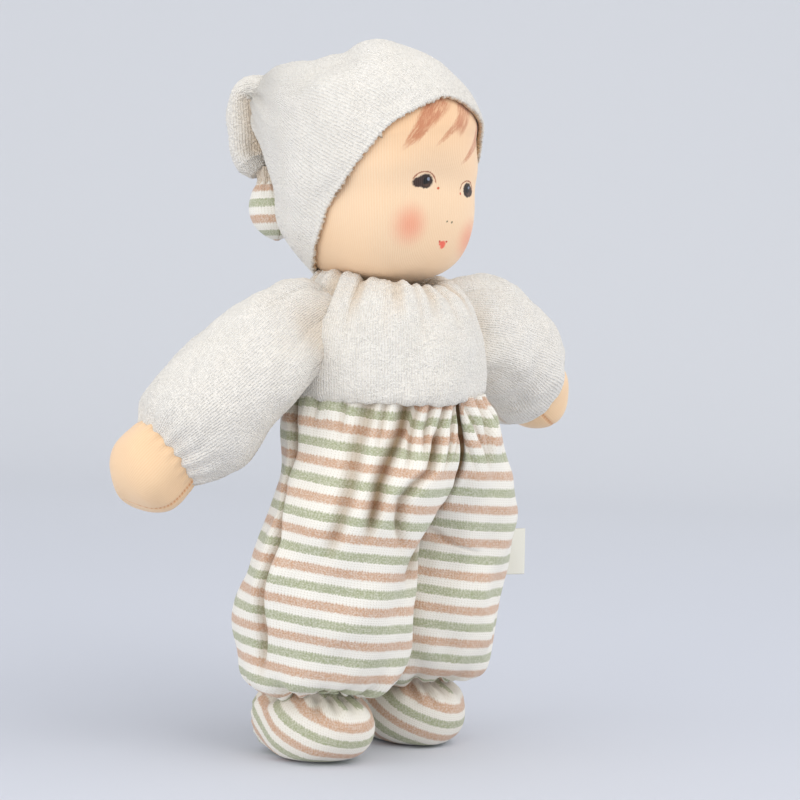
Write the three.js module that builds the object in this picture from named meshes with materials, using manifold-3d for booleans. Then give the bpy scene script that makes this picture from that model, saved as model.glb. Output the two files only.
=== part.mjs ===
// A soft cloth doll, in millimetres: +Z up, facing -Y, with its right side towards -X.
// Sewn skins of thin cloth hold stuffed wool cores. Neck, shoulders, hips and ankles are
// tied or sewn round, so each turns as a ball in a socket of the piece that carries it.
// The origin is on the floor, at the middle of the box round the whole doll.

import * as THREE from "three";
import { mergeVertices } from "three/addons/utils/BufferGeometryUtils.js";
import Module from "manifold-3d";

const wasm = await Module();
wasm.setup();

// Heights, each measured up from the level before it, the first from the floor
const ankle_height = 29;
const ankle_to_hip = 68;
const ankle_to_crotch = 58;
const ankle_to_waist = 118;
const waist_to_neck = 41;
const shoulder_below_neck = 18;
const neck_to_head_foot = 6;

// Cloth and clearances
const skin_wall = 1.1;
const terry_wall = 1.7;
const gap = 0.35;
const overrun = 30;

// Head
const head_half_width = 39.5;
const head_front_depth = 39;
const head_back_depth = 41;
const head_rise = 44;
const head_drop = 56;
const chin_back = 3.5;
const cheek_narrowing = 5.5;
const head_lean = THREE.MathUtils.degToRad(3.8);
const head_lean_heading = THREE.MathUtils.degToRad(51);
const neck_radius = 13;
const neck_mouth_radius = 16;
const collar_radius = 31;
const collar_height = 6.5;
const collar_pleats = 18;
const collar_pleat_depth = 1.6;

// Cap. Its ridge runs from the peak down the back, both measured from the head's middle.
const cap_peak = new THREE.Vector3(-24, 47, 26);
const cap_ridge_foot = new THREE.Vector3(-21, 41, -5);
const cap_ridge_radius = 3;
const cap_saddle_height = 36;
const cap_fold_reach = 3.5;
const cap_fold_rise = 1;
const cap_turn = THREE.MathUtils.degToRad(20);
const cap_fold_radius = 6.5;
const cap_tail_drop = 33.5;
const cap_tail_half_width = 12;
const cap_tail_sway = 5;
const cap_tie_radius = 4.6;
const cap_tie_thread = 1.2;
const cap_tip_radius = 10.5;
const cap_tip_length = 26.5;

// Trunk
const waist_half_width = 40;
const waist_front_depth = 42;
const waist_back_depth = 34;
const chest_half_width = 42.5;
const chest_front_depth = 42;
const chest_back_depth = 36;
const waist_tape_width = 1.6;
const waist_tape_depth = 1.3;

// Arms
const shoulder_spread = 80;
const shoulder_back = 2;
const shoulder_ball_radius = 20;
const shoulder_tape_wall = 1.1;
const shoulder_tape_width = 6;
const shoulder_tape_depth = 13;
const sleeve_length = 72.5;
const sleeve_rise = 29.5;
const sleeve_fall = 24;
const sleeve_half_depth = 28.5;
const wrist_radius = 16.3;
const wrist_thread = 1;
const hand_length = 24;
const hand_radius = 17;
const hand_sag = 2.5;
const right_arm_droop = THREE.MathUtils.degToRad(39.5);
const left_arm_droop = THREE.MathUtils.degToRad(14);
const right_arm_sweep_back = THREE.MathUtils.degToRad(16);
const left_arm_sweep_back = THREE.MathUtils.degToRad(18.5);

// Legs
const trouser_twist = THREE.MathUtils.degToRad(9);
const leg_spacing = 57;
const leg_seam_reach = 5.5;
const leg_front_depth = 36;
const leg_back_depth = 36;
const belly_forward = 9;
const hip_ball_radius = 25;
const hip_forward = 8;
const cuff_radius = 14.5;
const ankle_ball_radius = 10.5;
const ankle_thread = 1.4;

// Boots
const boot_half_width = 21;
const boot_toe_length = 25.5;
const boot_heel_length = 30.5;
const boot_neck_radius = 12.5;
const boot_gap_to_cuff = 0.8;

// Label
const label_reach = 16;
const label_height = 20;
const label_ply = 0.5;
const label_loop = 1.4;
const label_turn = THREE.MathUtils.degToRad(-20);
const label_seat = THREE.MathUtils.degToRad(-12);
const label_level_share = 0.44;

// Working heights
const hip_height = ankle_height + ankle_to_hip;
const crotch_height = ankle_height + ankle_to_crotch;
const waist_height = ankle_height + ankle_to_waist;
const neck_height = waist_height + waist_to_neck;
const shoulder_height = neck_height - shoulder_below_neck;
const head_foot = neck_height + neck_to_head_foot;
const head_height = head_foot + head_drop;

// Each half of the trousers would reach past the middle seam, where it is cut flat.
const leg_half_width = leg_spacing / 2 + leg_seam_reach;

const sides = { right: -1, left: 1 };
const up = new THREE.Vector3(0, 0, 1);

// Colours of the cloths, threads and wool
const finishes = {
  terry: { color: 0xf2efe8, roughness: 0.95 },
  tricot: { color: 0xf3cfa2, roughness: 0.8 },
  stripes: { color: 0xd9d6c3, roughness: 0.85 },
  wool: { color: 0xefe6d2, roughness: 1 },
  thread: { color: 0xe9e2d2, roughness: 0.7 },
  ribbon: { color: 0xe9e6da, roughness: 0.75 },
};

// A named mesh of one solid in one of the cloths.
function piece(name, geometry, finish) {
  const material = new THREE.MeshStandardMaterial({ ...finishes[finish], metalness: 0 });
  const mesh = new THREE.Mesh(geometry, material);
  mesh.name = name;
  return mesh;
}

// A smooth curve through a table's rows: row 0 holds the place, the others what it gives.
function along(rows, place) {
  const last = rows.length - 1;
  let n = 0;
  while (n < last - 1 && place > rows[n + 1][0]) n += 1;
  const slope = (i, c) => {
    const before = rows[Math.max(i - 1, 0)];
    const after = rows[Math.min(i + 1, last)];
    return (after[c] - before[c]) / (after[0] - before[0]);
  };
  const [from, to] = [rows[n], rows[n + 1]];
  const span = to[0] - from[0];
  const t = THREE.MathUtils.clamp((place - from[0]) / span, 0, 1);
  const [t2, t3] = [t * t, t * t * t];
  return from.map((value, c) =>
    (2 * t3 - 3 * t2 + 1) * value + (t3 - 2 * t2 + t) * span * slope(n, c) +
    (3 * t2 - 2 * t3) * to[c] + (t3 - t2) * span * slope(n + 1, c));
}

// Evenly spaced numbers from one end to the other.
function steps(from, to, count) {
  return Array.from({ length: count + 1 }, (_, n) => from + ((to - from) * n) / count);
}

// Points round a circle of unit radius, as pairs of cosine and sine.
function turns(count) {
  return steps(0, 2 * Math.PI, count).slice(1).map((a) => [Math.cos(a), Math.sin(a)]);
}

// A closed body over a row of rings with equal counts. Its two ends close on their middles,
// or, where the row is a loop, its last ring joins its first.
function body(rings, loop = false) {
  const around = rings[0].length;
  const points = rings.flat();
  const faces = [];
  const pairs = loop ? rings.length : rings.length - 1;
  for (let i = 0; i < pairs; i += 1) {
    const low = i * around;
    const high = ((i + 1) % rings.length) * around;
    for (let j = 0; j < around; j += 1) {
      const next = (j + 1) % around;
      faces.push(low + j, low + next, high + j, low + next, high + next, high + j);
    }
  }
  const cap = (ring, start, flip) => {
    const middle = new THREE.Vector3();
    ring.forEach((p) => middle.addScaledVector(p, 1 / around));
    points.push(middle);
    for (let j = 0; j < around; j += 1) {
      const next = (j + 1) % around;
      const pair = flip ? [start + j, start + next] : [start + next, start + j];
      faces.push(points.length - 1, ...pair);
    }
  };
  if (!loop) {
    cap(rings[0], 0, false);
    cap(rings[rings.length - 1], (rings.length - 1) * around, true);
  }
  return facingOut(new THREE.BufferGeometry().setFromPoints(points).setIndex(faces));
}

// The same rings with every second point left out.
function sparse(rings) {
  return rings.map((ring) => ring.filter((_, j) => j % 2 === 0));
}

// Turns a closed body right side out, told by the sign of its volume.
function facingOut(geometry) {
  const at = geometry.getAttribute("position");
  const index = Array.from(geometry.index.array);
  const [a, b, c] = [new THREE.Vector3(), new THREE.Vector3(), new THREE.Vector3()];
  let volume = 0;
  for (let i = 0; i < index.length; i += 3) {
    a.fromBufferAttribute(at, index[i]);
    b.fromBufferAttribute(at, index[i + 1]);
    c.fromBufferAttribute(at, index[i + 2]);
    volume += a.dot(b.cross(c));
  }
  if (volume < 0) {
    for (let i = 0; i < index.length; i += 3) {
      [index[i], index[i + 1]] = [index[i + 1], index[i]];
    }
    geometry.setIndex(index);
  }
  return geometry;
}

// The rings moved inwards, towards their middle, square to the surface that they span.
function inward(rings, distance, middle) {
  const last = rings.length - 1;
  const around = rings[0].length;
  const shifted = (by) => rings.map((ring, i) => ring.map((p, j) => {
    const rise = rings[Math.min(i + 1, last)][j].clone().sub(rings[Math.max(i - 1, 0)][j]);
    const on = ring[(j + 1) % around].clone().sub(ring[(j + around - 1) % around]);
    return p.clone().addScaledVector(rise.cross(on).normalize(), by);
  }));
  const spread = (set) => set.flat().reduce((sum, p) => sum + p.distanceTo(middle), 0);
  const [one, other] = [shifted(distance), shifted(-distance)];
  return spread(one) < spread(other) ? one : other;
}

// A thin skin between rings and the same rings moved inwards, open at both ends.
function tube(rings, wall, middle) {
  return body([...rings, ...inward(rings, wall, middle).reverse()], true);
}

// The same, closed over the last ring.
function cup(rings, wall, middle) {
  return body([...[...rings].reverse(), ...inward(rings, wall, middle)]);
}

function solid(geometry) {
  const bare = geometry.clone();
  bare.deleteAttribute("normal");
  bare.deleteAttribute("uv");
  const merged = mergeVertices(bare);
  return new wasm.Manifold(new wasm.Mesh({
    numProp: 3,
    vertProperties: merged.attributes.position.array,
    triVerts: new Uint32Array(merged.index.array),
  }));
}

function geometryOf(made) {
  const mesh = made.getMesh();
  return new THREE.BufferGeometry()
    .setAttribute("position", new THREE.BufferAttribute(mesh.vertProperties, 3))
    .setIndex(new THREE.BufferAttribute(mesh.triVerts, 1));
}

// One body less the others.
function cut(geometry, ...tools) {
  let left = solid(geometry);
  tools.forEach((tool) => {
    left = left.subtract(solid(tool));
  });
  return geometryOf(left);
}

// What one body shares with another.
function shared(geometry, other) {
  return geometryOf(solid(geometry).intersect(solid(other)));
}

// Two bodies as one.
function joined(geometry, other) {
  return geometryOf(solid(geometry).add(solid(other)));
}

function ball(radius, middle, around = 20, rows = 12) {
  return new THREE.SphereGeometry(radius, around, rows).translate(middle.x, middle.y, middle.z);
}

// A box between two corners.
function box(low, high) {
  const size = high.clone().sub(low);
  const middle = low.clone().add(high).multiplyScalar(1 / 2);
  return new THREE.BoxGeometry(size.x, size.y, size.z).translate(middle.x, middle.y, middle.z);
}

// The head leans over the neck, towards the cap's peak. Its cloths and its tail lean with it.
const lean_axis = new THREE.Vector3(
  -Math.cos(head_lean_heading), -Math.sin(head_lean_heading), 0);

function leaned(geometry) {
  const turn = new THREE.Quaternion().setFromAxisAngle(lean_axis, head_lean);
  return geometry.translate(0, 0, -neck_height).applyQuaternion(turn).translate(0, 0, neck_height);
}

// A level ring, an oval round (x, y) with its own depths to the front and the back.
function oval({ x, y, half_width, front, back }, z, around) {
  return turns(around).map(([c, s]) =>
    new THREE.Vector3(x + half_width * c, y + s * (s < 0 ? front : back), z));
}

// A ring of revolution about Z: its profile is a loop of [radius, height] pairs.
function hoop(profile, around = 24) {
  const rings = profile.map(([radius, z]) =>
    turns(around).map(([c, s]) => new THREE.Vector3(radius * c, radius * s, z)));
  return body(rings, true);
}

const peak_way = cap_peak.clone().normalize();

// Head. Its surface is a distance from the head's middle for each direction: an oval above
// and a squarer one below, which is squarest and a little leaner at cheeks and chin.
const head_middle = new THREE.Vector3(0, 0, head_height);
const roundness_above = 2.1;
const roundness_below = 2.6;
const roundness_chin = 3.4;

function headReach(direction) {
  const low = THREE.MathUtils.smoothstep(-direction.z, 0, 1 / 2);
  const front = THREE.MathUtils.smoothstep(-direction.y, 0, 1 / 2);
  const width = head_half_width - low * front * cheek_narrowing;
  const depth = direction.y < 0 ? head_front_depth - low * chin_back : head_back_depth;
  const height = direction.z < 0 ? head_drop : head_rise;
  const below = THREE.MathUtils.lerp(roundness_below, roundness_chin, front);
  const power = THREE.MathUtils.lerp(roundness_above, below, low);
  const sum = Math.abs(direction.x / width) ** power +
    Math.abs(direction.y / depth) ** power + Math.abs(direction.z / height) ** power;
  return sum ** (-1 / power);
}

// A closed surface round the head's middle, with its poles on the given axis.
function roundHead(reach, pole, around, rows) {
  const turned = new THREE.Quaternion().setFromUnitVectors(new THREE.Vector3(0, 0, 1), pole);
  const rings = steps(0, Math.PI, rows).slice(1, -1).map((tilt) =>
    turns(around).map(([c, s]) => {
      const to = new THREE.Vector3(Math.sin(tilt) * c, Math.sin(tilt) * s, Math.cos(tilt));
      to.applyQuaternion(turned);
      return to.clone().multiplyScalar(reach(to)).add(head_middle);
    }));
  const made = body(rings);
  const at = made.getAttribute("position");
  const ends = [pole, pole.clone().negate()];
  ends.forEach((end, n) => {
    const tip = end.clone().multiplyScalar(reach(end)).add(head_middle);
    at.setXYZ(at.count - 2 + n, tip.x, tip.y, tip.z);
  });
  return made;
}

const neck = new THREE.Vector3(0, 0, neck_height);
const head_around = 24;
const head_rows = 14;

function headSurface(inset) {
  return roundHead((way) => headReach(way) - inset, peak_way, head_around, head_rows);
}

// An upright cylinder about the doll's middle line.
function post(radius, low, high, around = 20) {
  const made = new THREE.CylinderGeometry(radius, radius, high - low, around);
  return made.rotateX(Math.PI / 2).translate(0, 0, (low + high) / 2);
}

function headSkin() {
  const mouth = post(neck_mouth_radius, head_foot - overrun, head_foot + skin_wall * 4);
  return piece("head_skin", cut(headSurface(0), headSurface(skin_wall), mouth), "tricot");
}

function headCore() {
  const stem = post(neck_radius - gap * 3, neck_height, head_foot + skin_wall * 4);
  const wool = joined(headSurface(skin_wall + gap), joined(ball(neck_radius, neck), stem));
  return piece("head_core", wool, "wool");
}

// The thread that ties the neck, wound round the ball of the neck.
function neckBinding() {
  const inner = neck_radius + gap;
  const outer = neck_mouth_radius;
  const half = gap * 3;
  const at = neck_height + half;
  const profile = [[inner, at - half], [outer, at - half], [outer, at + half], [inner, at + half]];
  return piece("neck_binding", hoop(profile), "thread");
}

// Cap. Its cloth is stretched over the ridge and all of the head but the crown, which stands
// out above it and leaves a saddle in front of the peak.
function capSurface(offset) {
  const ridge = [cap_peak, cap_ridge_foot].map((end) =>
    solid(ball(cap_ridge_radius + offset, head_middle.clone().add(end), 12, 8)));
  const head = solid(headSurface(-offset));
  const low = head.trimByPlane([0, 0, -1], -head_height - cap_saddle_height);
  return geometryOf(wasm.Manifold.hull([low, ...ridge]).add(head));
}

// The face shows where the cap is cut away in front of an edge that slopes back, as
// [height share, back share] of the head's height and back depth.
const face_edge_shares = [
  [-0.1, 0.5], [0.085, 0.44], [0.14, 0.33], [0.2, 0.21], [0.27, 0.08], [0.32, -0.03],
  [0.41, -0.22], [0.52, -0.39], [0.58, -0.5], [0.625, -0.59], [0.665, -0.67], [0.7, -0.75],
  [0.73, -0.82], [0.76, -0.93],
];

function faceOpening() {
  const reach = head_front_depth + overrun;
  const x = head_half_width + overrun;
  const rings = face_edge_shares.map(([level, back]) => {
    const z = head_foot + level * (head_rise + head_drop);
    const y = head_back_depth * back;
    return [[-x, -reach], [x, -reach], [x, y], [-x, y]].map(([a, b]) => new THREE.Vector3(a, b, z));
  });
  return body(rings).rotateZ(cap_turn);
}

const fold_axis = new THREE.Vector3(peak_way.y, -peak_way.x, 0).normalize();
const fold_out = new THREE.Vector3(peak_way.x, peak_way.y, 0).normalize();
const fold_middle = head_middle.clone().add(cap_peak).addScaledVector(fold_out, cap_fold_reach);
fold_middle.z += cap_fold_rise;

// A bar along the fold of the cap.
function foldBar(radius, length) {
  const bar = new THREE.CylinderGeometry(radius, radius, length, 18);
  const turned = new THREE.Quaternion().setFromUnitVectors(new THREE.Vector3(0, 1, 0), fold_axis);
  return bar.applyQuaternion(turned).translate(fold_middle.x, fold_middle.y, fold_middle.z);
}

function capHood() {
  const seat = joined(foldBar(cap_fold_radius + gap, (cap_tail_half_width + gap) * 2), tailBody(gap));
  const foot = post(head_back_depth * 2, head_foot - overrun, head_foot + gap);
  const hood = cut(capSurface(gap + terry_wall), capSurface(gap), faceOpening(), seat, foot);
  return piece("cap_hood", hood, "terry");
}

// The cap's tail hangs from the fold, as [drop share, half width share, half depth share,
// outward share]: the depths and the way out are shares of the fold's radius.
const cap_tail_shares = [
  [0, 0.86, 1, 0], [0.18, 0.97, 1, 0.5], [0.4, 1.04, 0.98, 0.9], [0.65, 1.02, 0.95, 0.95],
  [0.85, 0.82, 0.85, 0.6], [1, 0.55, 0.72, 0.1],
];

function tailBody(grown = 0) {
  return body(steps(0, 1, 7).map((place) => {
    const [, width, depth, out] = along(cap_tail_shares, place);
    const middle = fold_middle.clone().addScaledVector(fold_out, out * cap_fold_radius)
      .addScaledVector(fold_axis, place * cap_tail_sway);
    middle.z -= place * cap_tail_drop;
    return turns(16).map(([c, s]) => middle.clone()
      .addScaledVector(fold_axis, c * (width * cap_tail_half_width + grown))
      .addScaledVector(fold_out, s * (depth * cap_fold_radius + grown)));
  }));
}

function capTail() {
  const bar_length = cap_tail_half_width * 2 * cap_tail_shares[0][1];
  return piece("cap_tail", joined(tailBody(), foldBar(cap_fold_radius, bar_length)), "terry");
}

const tail_end = fold_middle.clone().addScaledVector(fold_axis, cap_tail_sway).addScaledVector(
  fold_out, cap_tail_shares[cap_tail_shares.length - 1][3] * cap_fold_radius);
tail_end.z -= cap_tail_drop + gap;

// The striped tip of the cap: its tied neck, then its stuffed bulb, as shares of its length
// and of its radius.
const cap_tip_shares = [[0.12, 0.42], [0.22, 0.66], [0.38, 0.92], [0.58, 1], [0.78, 0.84], [0.92, 0.5]];

function capTip() {
  const sway = fold_out.clone().multiplyScalar(-cap_tip_radius / 3);
  const rings = cap_tip_shares.map(([place, width]) => {
    const middle = tail_end.clone().addScaledVector(sway, place);
    middle.z -= cap_tie_thread + gap + place * cap_tip_length;
    return turns(18).map(([c, s]) => middle.clone().add(
      new THREE.Vector3(c, s, 0).multiplyScalar(width * cap_tip_radius)));
  });
  return piece("cap_tip", body(rings), "stripes");
}

function capTie() {
  const high = -gap / 2;
  const low = -cap_tie_thread - cap_tip_shares[0][0] * cap_tip_length;
  const profile = [[cap_tie_radius / 3, low], [cap_tie_radius, low],
    [cap_tie_radius, high], [cap_tie_radius / 3, high]];
  const tie = hoop(profile, 16).translate(tail_end.x, tail_end.y, tail_end.z);
  return piece("cap_tie", tie, "thread");
}

// Trunk, from the waist seam up to the neck, as shares of its height and of the sizes of
// the waist and the chest: [height, share of chest against waist, width, front, back].
const trunk_shares = [
  [0, 0, 1, 1, 1], [0.3, 0.7, 1, 1, 1], [0.6, 1, 1, 0.98, 0.98], [0.8, 1, 0.9, 0.87, 0.9],
  [0.93, 1, 0.72, 0.7, 0.73], [1, 1, 0.5, 0.5, 0.53],
];
const between = THREE.MathUtils.lerp;

function trunkRing(place, low, high, around) {
  const [, chest, width, front, back] = along(trunk_shares, place);
  const section = {
    x: 0,
    y: 0,
    half_width: width * between(waist_half_width, chest_half_width, chest),
    front: front * between(waist_front_depth, chest_front_depth, chest),
    back: back * between(waist_back_depth, chest_back_depth, chest),
  };
  return oval(section, between(low, high, place), around);
}

const tape_half = waist_tape_width / 2 + gap;
const shirt_hem = waist_height + tape_half;
const shirt_top = neck_height;

function shoulderPivot(side) {
  return new THREE.Vector3(side * shoulder_spread / 2, shoulder_back, shoulder_height);
}

const socket_radius = shoulder_ball_radius + shoulder_tape_wall + gap * 2;

function sockets() {
  return Object.values(sides).map((side) => ball(socket_radius, shoulderPivot(side), 24, 14));
}

const trunk_places = [0, 0.18, 0.36, 0.54, 0.7, 0.82, 0.92, 1];
const trunk_around = 24;

function trunkRings() {
  return trunk_places.map((place) => trunkRing(place, shirt_hem, shirt_top, trunk_around));
}

function shirt() {
  const middle = new THREE.Vector3(0, 0, between(shirt_hem, shirt_top, 1 / 2));
  return piece("shirt", cut(tube(trunkRings(), terry_wall, middle), ...sockets()), "terry");
}

// Level rings of the space inside both trouser halves, clear of their wall by a margin. It
// stays behind the dips where the halves meet along the middle.
function bellyRings(foot, margin) {
  return steps(foot, trouser_top, 5).map((z) => {
    const half = sectionAt(z);
    const dip = Math.sqrt(1 - (half.x / half.half_width) ** 2);
    return twisted(oval({
      x: 0,
      y: half.y,
      half_width: half.x + half.half_width - margin,
      front: half.front * dip - margin,
      back: half.back * dip - margin,
    }, z, trunk_around));
  });
}

// The wool of chest and belly, which stops over the balls of the hips.
function trunkCore() {
  const chest = inward(trunkRings(), terry_wall + gap, new THREE.Vector3(0, 0, shirt_hem));
  const foot = hip_height + hip_ball_radius + gap * 6;
  const belly = bellyRings(foot, belly_margin + gap);
  const wool = body(sparse([...belly, ...chest]));
  return piece("trunk_core", cut(wool, ball(neck_radius + gap, neck), ...sockets()), "wool");
}

// The gathered neckline: a soft roll of pleats between the shirt and the head.
function collar() {
  const foot = neck_height + gap;
  const inner = neck_mouth_radius + gap;
  const profile = [
    [inner, 0, 0], [collar_radius, -0.55, 1], [collar_radius, 0.35, 1],
    [(inner + collar_radius) / 2, 1, 0.4], [inner, 0.9, 0],
  ];
  const rings = profile.map(([radius, level, fold]) => turns(collar_pleats * 2).map(([c, s], n) => {
    const out = radius - (n % 2) * collar_pleat_depth * fold;
    return new THREE.Vector3(out * c, out * s, foot + level * collar_height);
  }));
  const head = leaned(capSurface(gap * 2 + terry_wall));
  const shoulders = trunk_places.map((place) =>
    trunkRing(place, shirt_hem, shirt_top + gap, trunk_around));
  const tools = [head, body(shoulders), ...sockets()];
  return piece("collar", cut(body(rings, true), ...tools), "terry");
}

// The tape under the waist seam, an oval hoop between shirt and trousers.
function waistTape() {
  const half = waist_tape_width / 2;
  const outer = gap / 2;
  const inner = outer + waist_tape_depth;
  const loop = [[outer, -half], [outer, half], [inner, half], [inner, -half]];
  const rings = loop.map(([inset, z]) => oval({
    x: 0,
    y: 0,
    half_width: waist_half_width - inset,
    front: waist_front_depth - inset,
    back: waist_back_depth - inset,
  }, waist_height + z, trunk_around));
  return piece("waist_tape", body(rings, true), "thread");
}

// Trousers. Each half is a leg that swells over the cuff and runs up into half the belly.
// A row holds [height share, cuff share, waist share, half width, belly, front, back].
const trouser_shares = [
  [0, 1, 0, 1, 0, 1, 1],
  [0.03, 0.35, 0, 0.95, 0, 0.95, 0.95],
  [0.09, 0.08, 0, 0.98, 0, 0.95, 0.97],
  [0.2, 0, 0, 1, 0, 0.97, 1.02],
  [0.32, 0, 0, 0.99, 0.1, 1, 0.94],
  [0.43, 0, 0, 0.94, 0.4, 1, 0.78],
  [0.54, 0, 0.05, 0.91, 0.7, 1.02, 0.66],
  [0.66, 0, 0.25, 0.93, 1, 1.08, 0.6],
  [0.8, 0, 0.58, 1.05, 1.2, 1.2, 0.66],
  [0.92, 0, 0.86, 1.2, 0.9, 1.2, 0.9],
  [1, 0, 1, 1, 0, 1, 1],
];
const trouser_foot = ankle_height - gap;
const trouser_top = waist_height - tape_half;

// The oval of the left half at a height, for a side towards +X.
function sectionAt(z) {
  const place = (z - trouser_foot) / (trouser_top - trouser_foot);
  const [, cuff, waist, width, belly, front, back] = along(trouser_shares, place);
  const leg = {
    x: leg_spacing / 2,
    y: -belly_forward * belly,
    half_width: leg_half_width * width,
    front: leg_front_depth * front,
    back: leg_back_depth * back,
  };
  const mouth = {
    x: leg_spacing / 2, y: 0, half_width: cuff_radius, front: cuff_radius, back: cuff_radius,
  };
  const top = {
    x: 0,
    y: 0,
    half_width: waist_half_width,
    front: waist_front_depth,
    back: waist_back_depth,
  };
  const section = {};
  Object.keys(leg).forEach((key) => {
    section[key] = between(between(leg[key], mouth[key], cuff), top[key], waist);
  });
  return section;
}

// The trousers sit a little turned on the body, seam, legs and boots alike.
function twisted(points) {
  return points.map((p) => p.applyAxisAngle(up, trouser_twist));
}

// A ring of one half. Its inner side lies flat along the middle seam.
function trouserRing(side, z, around) {
  const ring = oval(sectionAt(z), z, around);
  return ring.map((p) => new THREE.Vector3(side * Math.max(p.x, gap / 2), p.y, p.z));
}

const trouser_levels = trouser_shares.map(([place]) => place);

function trouserRings(side, around) {
  return trouser_levels.map((place) =>
    trouserRing(side, between(trouser_foot, trouser_top, place), around));
}

function legMiddle(side) {
  return new THREE.Vector3(side * leg_spacing / 2, 0, (trouser_foot + hip_height) / 2);
}

const leg_around = 20;
const belly_margin = skin_wall + terry_wall;

// A half is open to the other half above the crotch, where both hold the belly.
function trouserHalf(name, side) {
  const rings = trouserRings(side, leg_around);
  const space = body(bellyRings(crotch_height, belly_margin)).rotateZ(-trouser_twist);
  const half = cut(tube(rings, skin_wall, legMiddle(side)), space);
  return piece(`${name}_trouser`, half, "stripes");
}

function hipPivot(side) {
  return new THREE.Vector3(side * leg_spacing / 2, -hip_forward, hip_height);
}

function anklePivot(side) {
  return new THREE.Vector3(side * leg_spacing / 2, 0, ankle_height);
}

// The wool of a leg: a ball at the hip, and below it the shape of the trouser leg.
function legCore(name, side) {
  const inset = skin_wall + gap * 3;
  const wool = inward(trouserRings(side, leg_around), inset, legMiddle(side));
  const levels = wool.filter((ring) => ring[0].z < hip_height - hip_ball_radius / 3);
  const space = body(wool);
  const head = shared(ball(hip_ball_radius, hipPivot(side), leg_around), space);
  const ankle = ball(ankle_ball_radius + gap, anklePivot(side), 16, 10);
  const made = cut(joined(body(levels.slice(1)), head), ankle);
  return piece(`${name}_leg_core`, made, "wool");
}

function ankleThread(name, side) {
  const inner = boot_neck_radius + gap;
  const half = ankle_thread / 2;
  const at = trouser_foot - half - gap;
  const outer = inner + ankle_thread;
  const profile = [[inner, at - half], [outer, at - half], [outer, at + half], [inner, at + half]];
  const thread = hoop(profile, 16).translate(side * leg_spacing / 2, 0, 0);
  return piece(`${name}_ankle_thread`, thread, "thread");
}

// Boots, as [height share, neck share, half width, toe, heel] up to the tied neck.
const boot_shares = [
  [0, 0, 0.52, 0.4, 0.6], [0.06, 0, 0.74, 0.66, 0.8], [0.2, 0, 0.93, 0.88, 0.95],
  [0.42, 0, 1, 1, 1], [0.62, 0, 0.97, 0.97, 1], [0.78, 0.1, 0.86, 0.84, 0.95],
  [0.86, 0.65, 0.75, 0.7, 0.85], [0.89, 1, 1, 1, 1], [1, 1, 1, 1, 1],
];
const boot_around = 18;

function bootRings(side) {
  const neck_top = trouser_foot + boot_gap_to_cuff;
  return boot_shares.map(([place, necked, width, toe, heel]) => {
    const section = {
      x: side * leg_spacing / 2,
      y: 0,
      half_width: between(boot_half_width * width, boot_neck_radius, necked),
      front: between(boot_toe_length * toe, boot_neck_radius, necked),
      back: between(boot_heel_length * heel, boot_neck_radius, necked),
    };
    return oval(section, place * neck_top, boot_around);
  });
}

function bootMiddle(side) {
  return new THREE.Vector3(side * leg_spacing / 2, 0, ankle_height / 2);
}

function boot(name, side) {
  const rings = bootRings(side).reverse();
  return piece(`${name}_boot`, cup(rings, skin_wall, bootMiddle(side)), "stripes");
}

function bootCore(name, side) {
  const wool = inward(bootRings(side), skin_wall + gap, bootMiddle(side));
  const made = joined(body(sparse(wool)), ball(ankle_ball_radius, anklePivot(side), 16, 10));
  return piece(`${name}_boot_core`, made, "wool");
}

// Arms are made pointing along X from the shoulder's middle, then hung in a turned group.
// A row holds [length share, rise, fall, half depth] as shares of the sleeve's sizes. Where
// the ball of the shoulder is wider, the sleeve follows the ball.
const sleeve_shares = [
  [0.05, 0.6, 0, 0.5], [0.13, 0.86, 0.2, 0.64], [0.21, 0.97, 0.4, 0.78], [0.3, 1, 0.62, 0.9],
  [0.42, 1, 0.8, 1], [0.56, 0.97, 0.93, 0.99], [0.7, 0.88, 0.98, 0.93],
  [0.82, 0.76, 0.93, 0.82], [0.92, 0.62, 0.81, 0.7],
];
const root_shares = [-0.6, -0.4, -0.15];
const arm_around = 18;

// An upright ring at a distance along an arm, with its own rise, fall and half depth.
function armRing(side, s, rise, fall, half_depth, sag = 0) {
  return turns(arm_around).map(([c, t]) =>
    new THREE.Vector3(side * s, half_depth * c, t * (t < 0 ? fall : rise) - sag));
}

function sleeveRings(side) {
  const r = shoulder_ball_radius;
  const root = root_shares.map((share) => [r * share, 0, 0, 0]);
  const rest = sleeve_shares.map(([place, rise, fall, depth]) =>
    [place * sleeve_length, rise * sleeve_rise, fall * sleeve_fall, depth * sleeve_half_depth]);
  const cuff = [sleeve_length, wrist_radius, wrist_radius, wrist_radius];
  return [...root, ...rest, cuff].map(([s, ...sizes]) => {
    const round = Math.sqrt(Math.max(0, r * r - s * s));
    return armRing(side, s, ...sizes.map((size) => Math.max(size, round)));
  });
}

function armMiddle(side) {
  return new THREE.Vector3(side * sleeve_length / 2, 0, 0);
}

function sleeve(name, side) {
  return piece(`${name}_sleeve`, tube(sleeveRings(side), terry_wall, armMiddle(side)), "terry");
}

function armCore(name, side) {
  const wool = inward(sleeveRings(side), terry_wall + gap, armMiddle(side));
  return piece(`${name}_arm_core`, body(sparse(wool)), "wool");
}

function wristThread(name, side) {
  const half = wrist_thread / 2;
  const at = sleeve_length + gap + half;
  const outer = wrist_radius - skin_wall / 2;
  const inner = outer - wrist_thread * 2;
  const profile = [[inner, at - half], [outer, at - half], [outer, at + half], [inner, at + half]];
  const thread = hoop(profile, 16).rotateY(side * Math.PI / 2);
  return piece(`${name}_wrist_thread`, thread, "thread");
}

// The hand, as [length share, radius share].
const hand_shares = [[0, 0.91], [0.16, 0.97], [0.38, 1.01], [0.62, 0.94], [0.82, 0.72], [0.95, 0.4]];
const hand_start = sleeve_length + wrist_thread + gap * 2;

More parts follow.
